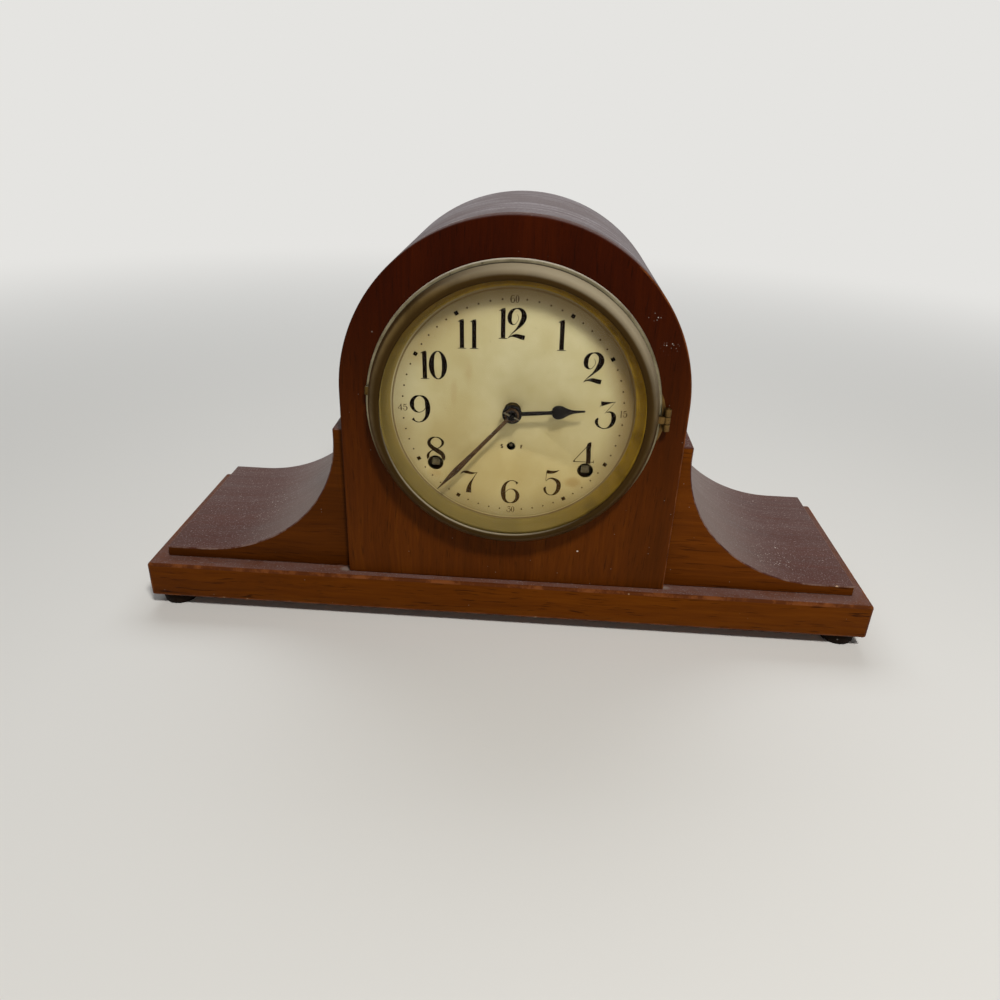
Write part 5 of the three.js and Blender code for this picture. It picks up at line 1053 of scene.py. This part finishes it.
sixStroke = [(0.64, 0.86, 0.05), (0.55, 0.955, 0.02), (0.38, 0.985, 0.014), (0.17, 0.85, 0.045),
             (0.075, 0.6, 0.075), (0.075, 0.35, 0.08), (0.16, 0.1, 0.05), (0.36, 0.015, 0.014),
             (0.56, 0.1, 0.05), (0.65, 0.32, 0.075), (0.57, 0.54, 0.045), (0.4, 0.62, 0.014),
             (0.24, 0.56, 0.012), (0.13, 0.42, 0.012)]
digitStrokes = {
    "0": [ovalStroke(0.26, 0.5, 0.215, 0.485, 0.014, 0.062)],
    "1": [[(0, 0.03, 0.064), (0, 0.5, 0.062), (0, 0.95, 0.064)],
          [(-0.13, 0.905, 0.008), (-0.02, 0.945, 0.035), (0.065, 0.985, 0.012)],
          [(-0.14, 0.012, 0.012), (0.14, 0.012, 0.012)]],
    "2": [[(0.3, 0.8, 0.006), (0.35, 0.7, 0.008), (0.3, 0.55, 0.008), (0.2, 0.47, 0.012),
           (0.09, 0.55, 0.05), (0.065, 0.7, 0.065), (0.12, 0.88, 0.05), (0.28, 0.985, 0.014),
           (0.45, 0.93, 0.05), (0.525, 0.75, 0.075), (0.47, 0.56, 0.07), (0.3, 0.33, 0.03),
           (0.1, 0.13, 0.01), (0.02, 0.03, 0.006)],
          [(0.02, 0.03, 0.006), (0.12, 0.09, 0.02), (0.28, 0.11, 0.055), (0.45, 0.07, 0.065),
           (0.56, 0.05, 0.065)]],
    "3": [[(0.18, 0.9, 0.075), (0.35, 0.925, 0.05), (0.55, 0.955, 0.02), (0.7, 0.985, 0.006)],
          [(0.17, 0.86, 0.008), (0.14, 0.78, 0.008)],
          [(0.7, 0.985, 0.006), (0.42, 0.66, 0.01), (0.34, 0.56, 0.01)],
          [(0.4, 0.6, 0.012), (0.55, 0.61, 0.03), (0.66, 0.5, 0.07), (0.68, 0.37, 0.075),
           (0.62, 0.17, 0.06), (0.42, 0.02, 0.014), (0.22, 0.04, 0.02), (0.08, 0.16, 0.045),
           (0.05, 0.27, 0.055), (0.1, 0.385, 0.03)]],
    "4": [[(0.575, 0.01, 0.07), (0.58, 0.45, 0.07), (0.585, 0.9, 0.07), (0.64, 0.99, 0.02)],
          [(0.62, 0.97, 0.012), (0.325, 0.645, 0.012), (0.03, 0.32, 0.012)],
          [(0.03, 0.31, 0.012), (0.4, 0.31, 0.012), (0.78, 0.31, 0.012)],
          [(0.77, 0.27, 0.012), (0.77, 0.37, 0.012)],
          [(0.05, 0.325, 0.02), (0.09, 0.345, 0.03)]],
    "5": [[(0.1, 0.92, 0.06), (0.3, 0.905, 0.05), (0.5, 0.94, 0.03), (0.63, 1, 0.004)],
          [(0.09, 0.95, 0.012), (0.06, 0.58, 0.01)],
          [(0.06, 0.55, 0.008), (0.22, 0.66, 0.02), (0.42, 0.64, 0.04), (0.6, 0.5, 0.075),
           (0.62, 0.33, 0.08), (0.52, 0.12, 0.055), (0.34, 0.02, 0.014), (0.16, 0.05, 0.02),
           (0.05, 0.17, 0.045), (0.03, 0.26, 0.05), (0.07, 0.33, 0.02)]],
    "6": [sixStroke],
    "7": [[(0.02, 0.83, 0.006), (0.1, 0.93, 0.03), (0.25, 0.94, 0.06), (0.42, 0.9, 0.05),
           (0.6, 0.92, 0.014), (0.66, 0.95, 0.004)],
          [(0.655, 0.95, 0.008), (0.5, 0.66, 0.02), (0.38, 0.4, 0.05), (0.33, 0.15, 0.078),
           (0.32, 0, 0.085)]],
    "8": [[(0.36, 0.985, 0.014), (0.16, 0.9, 0.045), (0.1, 0.76, 0.06), (0.22, 0.6, 0.065),
           (0.45, 0.46, 0.075), (0.64, 0.3, 0.07), (0.64, 0.14, 0.05), (0.36, 0.012, 0.014),
           (0.1, 0.13, 0.05), (0.05, 0.28, 0.05), (0.18, 0.46, 0.02), (0.4, 0.55, 0.012),
           (0.58, 0.66, 0.03), (0.64, 0.79, 0.05), (0.56, 0.92, 0.03)]],
    "9": [[(0.72 - x, 1 - y, half) for x, y, half in sixStroke]],
    "S": [[(0.52, 0.8, 0.05), (0.36, 0.96, 0.05), (0.12, 0.8, 0.06), (0.3, 0.52, 0.07),
           (0.54, 0.24, 0.06), (0.3, 0.04, 0.05), (0.06, 0.2, 0.05)]],
    "F": [[(0.12, 0, 0.06), (0.12, 0.5, 0.06), (0.12, 0.96, 0.06)],
          [(0.12, 0.94, 0.05), (0.52, 0.94, 0.05)],
          [(0.12, 0.52, 0.05), (0.42, 0.52, 0.05)]],
}
closedSigns = ("0", "8")  # their strokes run round to where they began
digitStep = {  # from the first figure to the second
    "10": 0.18, "11": 0.41, "12": 0.14, "15": 0.34, "30": 0.86, "45": 0.98, "60": 0.86,
}
hourPlaces = {  # x, z and height in mm from the dial's centre, and how wide the figure is drawn
    1: (22.5, 38, 14.8, 1), 2: (38.35, 22.7, 15.2, 1.04), 3: (45.65, -0.8, 14.35, 0.92),
    4: (36.3, -23.1, 15.8, 0.87), 5: (21.1, -38.3, 14.5, 0.82), 6: (-0.2, -44.3, 13.1, 0.97),
    7: (-21.6, -39.4, 12.3, 1.1), 8: (-38.5, -22.4, 14.4, 0.9), 9: (-45.8, -0.7, 14.1, 0.95),
    10: (-38.55, 21.85, 14.1, 1.04), 11: (-21.75, 37.45, 14.2, 1), 12: (-0.75, 42.9, 14.6, 1),
}
dialPrint = {"turn": -1.2, "lift": 0.02 * mm, "relief": 0.5 * mm, "thickFrom": 0.03, "thickBold": 1.3,
             "minuteRadius": 54.4 * mm, "dotRadius": 0.43 * mm, "diamond": 1.35 * mm, "stampDepth": 0.05 * mm,
             "smallHeight": 3.4 * mm, "smallWidth": 0.84, "smallLeast": 0.035, "holeMargin": 0.25 * mm,
             "letterX": 5 * mm, "letterHeight": 1.9 * mm, "letterBold": 2.2, "strokeSteps": 9, "dotSides": 14}


def penStroke(bm, points, closed, place):
    curve, spline, knots = newWire("pen_stroke", "BEZIER", len(points), 1)
    curve.resolution_u = dialPrint["strokeSteps"]
    spline.use_cyclic_u = closed
    for knot, (x, y, half) in zip(knots, points):
        knot.co = (x, y, 0)
        knot.radius = half
        knot.handle_left_type = knot.handle_right_type = "AUTO"
    joinWire(bm, curve, place)


def figureStrokes(word):  # strokes of a whole number, side by side
    strokes = []
    for i, sign in enumerate(word):
        shift = i * digitStep.get(word, 0)
        for points in digitStrokes[sign]:
            strokes.append((sign in closedSigns, [(x + shift, y, half) for x, y, half in points]))
    return strokes


def penWidth(half):  # the broad parts of a stroke are drawn broader, the hairlines are not
    return half + max(0, half - dialPrint["thickFrom"]) * (dialPrint["thickBold"] - 1)


def onDial():  # the dial's face, with the small turn of its printing
    face = caseFront - dialTray["face"] - dialPrint["lift"]
    return Matrix.Translation((0, face, dialZ)) @ rotation(dialPrint["turn"])


def writeFigure(bm, word, x, z, height, stretch=1, bold=1, least=0):  # centred on its place
    strokes = figureStrokes(word)
    lows = [px - half for _, points in strokes for px, _, half in points]
    highs = [px + half for _, points in strokes for px, _, half in points]
    middle = (min(lows) + max(highs)) / 2
    wide = height * stretch
    spread = Matrix(((wide, 0, 0, x - middle * wide), (0, 0, -dialPrint["relief"], 0),
                     (0, height, 0, z - height / 2), (0, 0, 0, 1)))
    place = onDial() @ spread
    for closed, points in strokes:
        inked = [(px, pz, max(penWidth(half) * bold, least)) for px, pz, half in points]
        penStroke(bm, inked, closed, place)


def stampMark(bm, radius, x, z, sides, turnDeg):  # thin flat stamp standing on the dial
    place = onDial() @ (Matrix.Translation((x, 0, z)) @ rotation(turnDeg)) @ rotation(90, "X")
    bmesh.ops.create_cone(bm, cap_ends=True, segments=sides, radius1=radius, radius2=radius,
                          depth=dialPrint["stampDepth"], matrix=place)


def minutePlace(minute):
    angle = math.radians(6 * minute)
    return dialPrint["minuteRadius"] * math.sin(angle), dialPrint["minuteRadius"] * math.cos(angle)


def clearHole(bm, x, z, radius):  # no ink over a hole in the dial
    inside = []
    for face in bm.faces:
        centre = face.calc_center_median()
        if math.hypot(centre.x - x, centre.z - dialZ - z) < radius:
            inside.append(face)
    bmesh.ops.delete(bm, geom=inside, context="FACES")
    bmesh.ops.holes_fill(bm, edges=[edge for edge in bm.edges if edge.is_boundary], sides=0)


def printHours():  # the hours, and a diamond at each five minutes between the minute figures
    bm = bmesh.new()
    for hour, (x, z, height, stretch) in hourPlaces.items():
        writeFigure(bm, str(hour), x * mm, z * mm, height * mm, stretch)
    radius = dialTray["windingHole"] + dialPrint["holeMargin"]
    for side in (-1, 1):
        clearHole(bm, side * dialTray["windingX"], -dialTray["windingDrop"], radius)
    for minute in range(5, 60, 5):
        if minute % 15:
            stampMark(bm, dialPrint["diamond"], *minutePlace(minute), 4, 6 * minute + 45)
    turnFacesOut(bm)
    finishPiece("dial_hours", bm, ["ink"], "case", "dial", added=True)


def printMinutes():  # a figure at each quarter, dots between, and the regulator's two letters
    bm = bmesh.new()
    for minute in range(1, 61):
        x, z = minutePlace(minute)
        if minute % 15 == 0:
            writeFigure(bm, str(minute), x, z, dialPrint["smallHeight"], dialPrint["smallWidth"],
                        least=dialPrint["smallLeast"])
        elif minute % 5:
            stampMark(bm, dialPrint["dotRadius"], x, z, dialPrint["dotSides"], 0)
    for letter, side in (("S", -1), ("F", 1)):
        writeFigure(bm, letter, side * dialPrint["letterX"], -dialTray["regulatorDrop"],
                    dialPrint["letterHeight"], bold=dialPrint["letterBold"])
    turnFacesOut(bm)
    finishPiece("dial_minutes", bm, ["brownInk"], "case", "dial", added=True)


printHours()
printMinutes()
print("dial printed")


# hands: stations of (share of length, share of half width)

hourHand = {"length": 35.4 * mm, "width": 6.8 * mm, "boss": 4.8 * mm, "bore": 3.2 * mm, "turn": 84.5,
            "ease": 0.22 * mm, "finish": "blackSteel",
            "stations": [(0.1, 0.28), (0.35, 0.27), (0.53, 0.26), (0.555, 0.6), (0.59, 0.9), (0.635, 1),
                         (0.69, 0.9), (0.74, 0.62), (0.79, 0.38), (0.86, 0.2), (1, 0.1)]}
minuteHand = {"length": 55.2 * mm, "width": 2.9 * mm, "boss": 3.4 * mm, "bore": 1.6 * mm, "turn": 221.1,
              "ease": 0.18 * mm, "finish": "brownSteel",
              "stations": [(0.05, 0.62), (0.3, 0.65), (0.55, 0.76), (0.74, 1), (0.88, 0.52), (1, 0.1)]}


handFacets = {"blade": 9, "hub": 40, "bore": 32}


def makeHand(node, shape, body):
    low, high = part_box(node)
    boss = shape["boss"]
    places = [(share * shape["length"], half * shape["width"] / 2) for share, half in shape["stations"]]
    edge = splinePoints(places, handFacets["blade"])
    blade = [(along, half) for along, half in edge if along > math.sqrt(boss ** 2 - half ** 2)]
    root = math.degrees(math.asin(blade[0][1] / boss))
    right = [(half, along) for along, half in blade]
    left = [(-half, along) for along, half in reversed(blade)]
    hub = arcPoints(0, 0, boss, 90 + root, 450 - root, handFacets["hub"])
    hole = circleOutline(0, 0, shape["bore"], handFacets["bore"])
    bm = plate(right + left + hub, [hole], low.y, high.y)
    easeEdges(bm, shape["ease"], 2, least=50)
    turnAbout(bm, shape["turn"])
    move(bm, dialAxis)
    turnFacesOut(bm)
    finishPiece(node + "_blade", bm, [shape["finish"]], body, node)


handWasher = {"inner": 0.6, "crown": 0.86,  # shares of its radius
              "shoulder": 0.15 * mm, "dish": 0.1 * mm, "sides": 40}
handPin = {"length": 8.5 * mm, "thick": 0.45 * mm, "thin": 0.28 * mm, "tilt": 25, "ease": 0.12 * mm,
           "sides": 20}


def makeHandFixing():
    low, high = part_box("hand_washer")
    outer = high.x
    inner = outer * handWasher["inner"]
    profile = [(inner, high.y), (outer, high.y), (outer, low.y + handWasher["shoulder"]),
               (outer * handWasher["crown"], low.y), (inner, low.y + handWasher["dish"])]
    bm = turned(profile, dialAxis, handWasher["sides"])
    finishPiece("hand_washer_ring", bm, ["blackSteel"], "minute_arbor", "hand_washer")
    pinLow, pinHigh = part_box("hand_pin")
    place = Matrix.Translation((0, (pinLow.y + pinHigh.y) / 2, dialZ)) @ rotation(90 + handPin["tilt"])
    bm = bmesh.new()
    bmesh.ops.create_cone(bm, cap_ends=True, segments=handPin["sides"], radius1=handPin["thick"],
                          radius2=handPin["thin"], depth=handPin["length"], matrix=place)
    easeEdges(bm, handPin["ease"], 2, least=60)
    finishPiece("hand_taper_pin", bm, ["pinBrass"], "minute_arbor", "hand_pin")


makeHand("hour_hand", hourHand, "hour_pipe")
makeHand("minute_hand", minuteHand, "minute_arbor")
makeHandFixing()
print("hands made")


# gong and pendulum bob, seen through the open back door

gongCoil = {"turns": 4, "outer": 36 * mm, "inner": 10 * mm, "wire": 1.25 * mm, "tail": 2.6 * mm, "steps": 56}
bobLens = {"thick": 9 * mm, "steps": 6, "sides": 72,  # stations are shares of radius and half thickness
           "stations": [(0, 1), (0.3, 0.96), (0.55, 0.8), (0.8, 0.5), (1, 0.12)]}


def makeGong():
    shape = gongCoil
    low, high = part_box("gong_coil")
    middle = (low + high) / 2
    quarter = (shape["outer"] - shape["inner"]) / (4 * shape["turns"])  # drawn in with each quarter turn
    centreX, centreZ = middle.x - quarter, middle.z + quarter
    count = shape["turns"] * shape["steps"]
    points = []
    for i in range(count + 1):
        angle = math.radians(360 * i / shape["steps"] - 90)
        radius = shape["outer"] + (shape["inner"] - shape["outer"]) * i / count
        points.append((centreX + radius * math.cos(angle), centreZ + radius * math.sin(angle)))
    points.append((centreX + shape["tail"], points[-1][1]))
    curve, _, knots = newWire("gong_path", "POLY", len(points), shape["wire"])
    for knot, (x, z) in zip(knots, points):
        knot.co = (x, middle.y, z, 1)
    bm = bmesh.new()
    joinWire(bm, curve)
    turnFacesOut(bm)
    finishPiece("gong_spiral", bm, ["steel"], "case", "gong_coil", smooth=60)


def makeBob():
    low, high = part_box("pendulum_bob")
    radius = (high.x - low.x) / 2
    half = bobLens["thick"] / 2
    stations = [(radius * share, half * thick) for share, thick in bobLens["stations"]]
    front = splinePoints(stations, bobLens["steps"])
    profile = front + [(along, -thick) for along, thick in reversed(front)]
    centre = ((low.x + high.x) / 2, (low.y + high.y) / 2, low.z + radius)
    bm = turned(profile, centre, bobLens["sides"], closed=False)
    finishPiece("pendulum_lens", bm, ["brass"], "pendulum", "pendulum_bob")


makeGong()
makeBob()
print("gong and bob made")


# carried-over solids: the movement and small fittings keep their shapes and get a worn finish

slotFinish = {
    "mahogany": "panel", "dark_mahogany": "plinth", "ebonised_wood": "foot", "antique_brass": "rim",
    "gilt_brass": "sight", "plain_brass": "brass", "steel": "steel", "black_steel": "blackSteel",
    "iron": "iron", "cream_dial": "dial", "clear_glass": "glass",
}
# the winding and regulator arbors take the steel painted dark for shade
nodeFinish = {"time_winder": "oiledSteel", "strike_winder": "oiledSteel", "regulator_arbor": "oiledSteel",
              "centre_arbor": "arborBrass"}
for nodeName, cadPiece in frame["nodes"].items():
    if not cadPiece.hide_render:
        chosenFinish = nodeFinish.get(nodeName, slotFinish[slotOf[nodeName]])
        cadPiece.data.materials.clear()
        cadPiece.data.materials.append(finishes[chosenFinish])
print("carried-over solids finished")


# stage

cameraFit = {"lens": 28.19, "sensor": 36, "nearest": 0.01, "yaw": -2.306, "pitch": -26.58, "roll": 2.195,
             "place": (10.19, -420.16, 259.26)}  # degrees, and a place in mm


def makeCamera():
    yaw, pitch, roll = [math.radians(cameraFit[key]) for key in ("yaw", "pitch", "roll")]
    forward = Vector((math.sin(yaw) * math.cos(pitch), math.cos(yaw) * math.cos(pitch), math.sin(pitch)))
    levelRight = Vector((math.cos(yaw), -math.sin(yaw), 0))
    levelUp = levelRight.cross(forward)
    right = math.cos(roll) * levelRight + math.sin(roll) * levelUp
    up = right.cross(forward)
    lens = bpy.data.cameras.new("photo_camera")
    lens.lens = cameraFit["lens"]
    lens.sensor_width = cameraFit["sensor"]
    lens.clip_start = cameraFit["nearest"]
    camera = bpy.data.objects.new("photo_camera", lens)
    turn = Matrix((right, up, -forward)).transposed().to_4x4()
    camera.matrix_world = Matrix.Translation(Vector(cameraFit["place"]) * mm) @ turn
    scene.collection.objects.link(camera)
    scene.camera = camera


floorSheet = {"half": 8.0, "tint": rgb(230, 228, 223), "fadeFrom": 0.35, "fadeTo": 1.3}
room = {"backdrop": rgb(229, 228, 225), "sky": rgb(244, 246, 250), "skyStrength": 0.06}


def seenRays(tree):  # 1 for rays that show the backdrop, 0 for rays that light the object
    path = addNode(tree, "LightPath")
    seen = largerOf(tree, path.outputs["Is Camera Ray"], path.outputs["Is Glossy Ray"])
    return largerOf(tree, seen, path.outputs["Is Transmission Ray"])


def makeFloor():
    bm = bmesh.new()
    bmesh.ops.create_grid(bm, x_segments=1, y_segments=1, size=floorSheet["half"])
    mesh = bpy.data.meshes.new("pale_floor")
    bm.to_mesh(mesh)
    bm.free()
    material, tree, shader = newFinish("pale_floor")
    setShader(shader, Base_Color=floorSheet["tint"], Roughness=0.9, Specular_IOR_Level=0.1)
    far = spanOf(tree, lengthOf(tree, objectPoint(tree)), floorSheet["fadeFrom"], floorSheet["fadeTo"])
    glow = addNode(tree, "Emission", {"Color": room["backdrop"], "Strength": 1.0})
    blendSurface(tree, timesOf(tree, far, seenRays(tree)), shader.outputs[0], glow.outputs[0])
    mesh.materials.append(material)
    floor = bpy.data.objects.new("pale_floor", mesh)
    scene.collection.objects.link(floor)


lamps = {  # place in metres, width and depth, power, colour
    "key_lamp": ((0.28, -0.72, 1.13), (0.2, 0.14), 12, (1, 0.98, 0.95)),
    "window_lamp": ((0.25, -1.09, 0.7), (0.16, 0.16), 0.7, (1, 0.97, 0.92)),
    "back_lamp": ((-0.1, 0.9, 1.1), (1.6, 0.8), 9, (0.92, 0.96, 1)),
}


def makeLights():
    aim = Vector(dialAxis)
    for name, (place, size, power, tint) in lamps.items():
        light = bpy.data.lights.new(name, "AREA")
        light.shape = "RECTANGLE"
        light.size, light.size_y = size
        light.energy = power
        light.color = tint
        lamp = bpy.data.objects.new(name, light)
        lamp.location = place
        lamp.rotation_euler = (aim - Vector(place)).to_track_quat("-Z", "Y").to_euler()
        lamp.visible_glossy = lamp.visible_transmission = False  # brass and glass show the backdrop instead
        scene.collection.objects.link(lamp)


def makeWorld():  # a dim sky that lights the object, and a pale backdrop that is only seen
    world = bpy.data.worlds.new("pale_room")
    world.use_nodes = True
    tree = world.node_tree
    sky = tree.nodes["Background"]
    plug(tree, sky.inputs["Color"], room["sky"])
    plug(tree, sky.inputs["Strength"], room["skyStrength"])
    seen = addNode(tree, "Background", {"Color": room["backdrop"], "Strength": 1.0})
    blendSurface(tree, seenRays(tree), sky.outputs[0], seen.outputs[0], "World Output")
    scene.world = world


makeCamera()
makeFloor()
makeLights()
makeWorld()
scene.view_settings.view_transform = "Standard"
print("stage made")
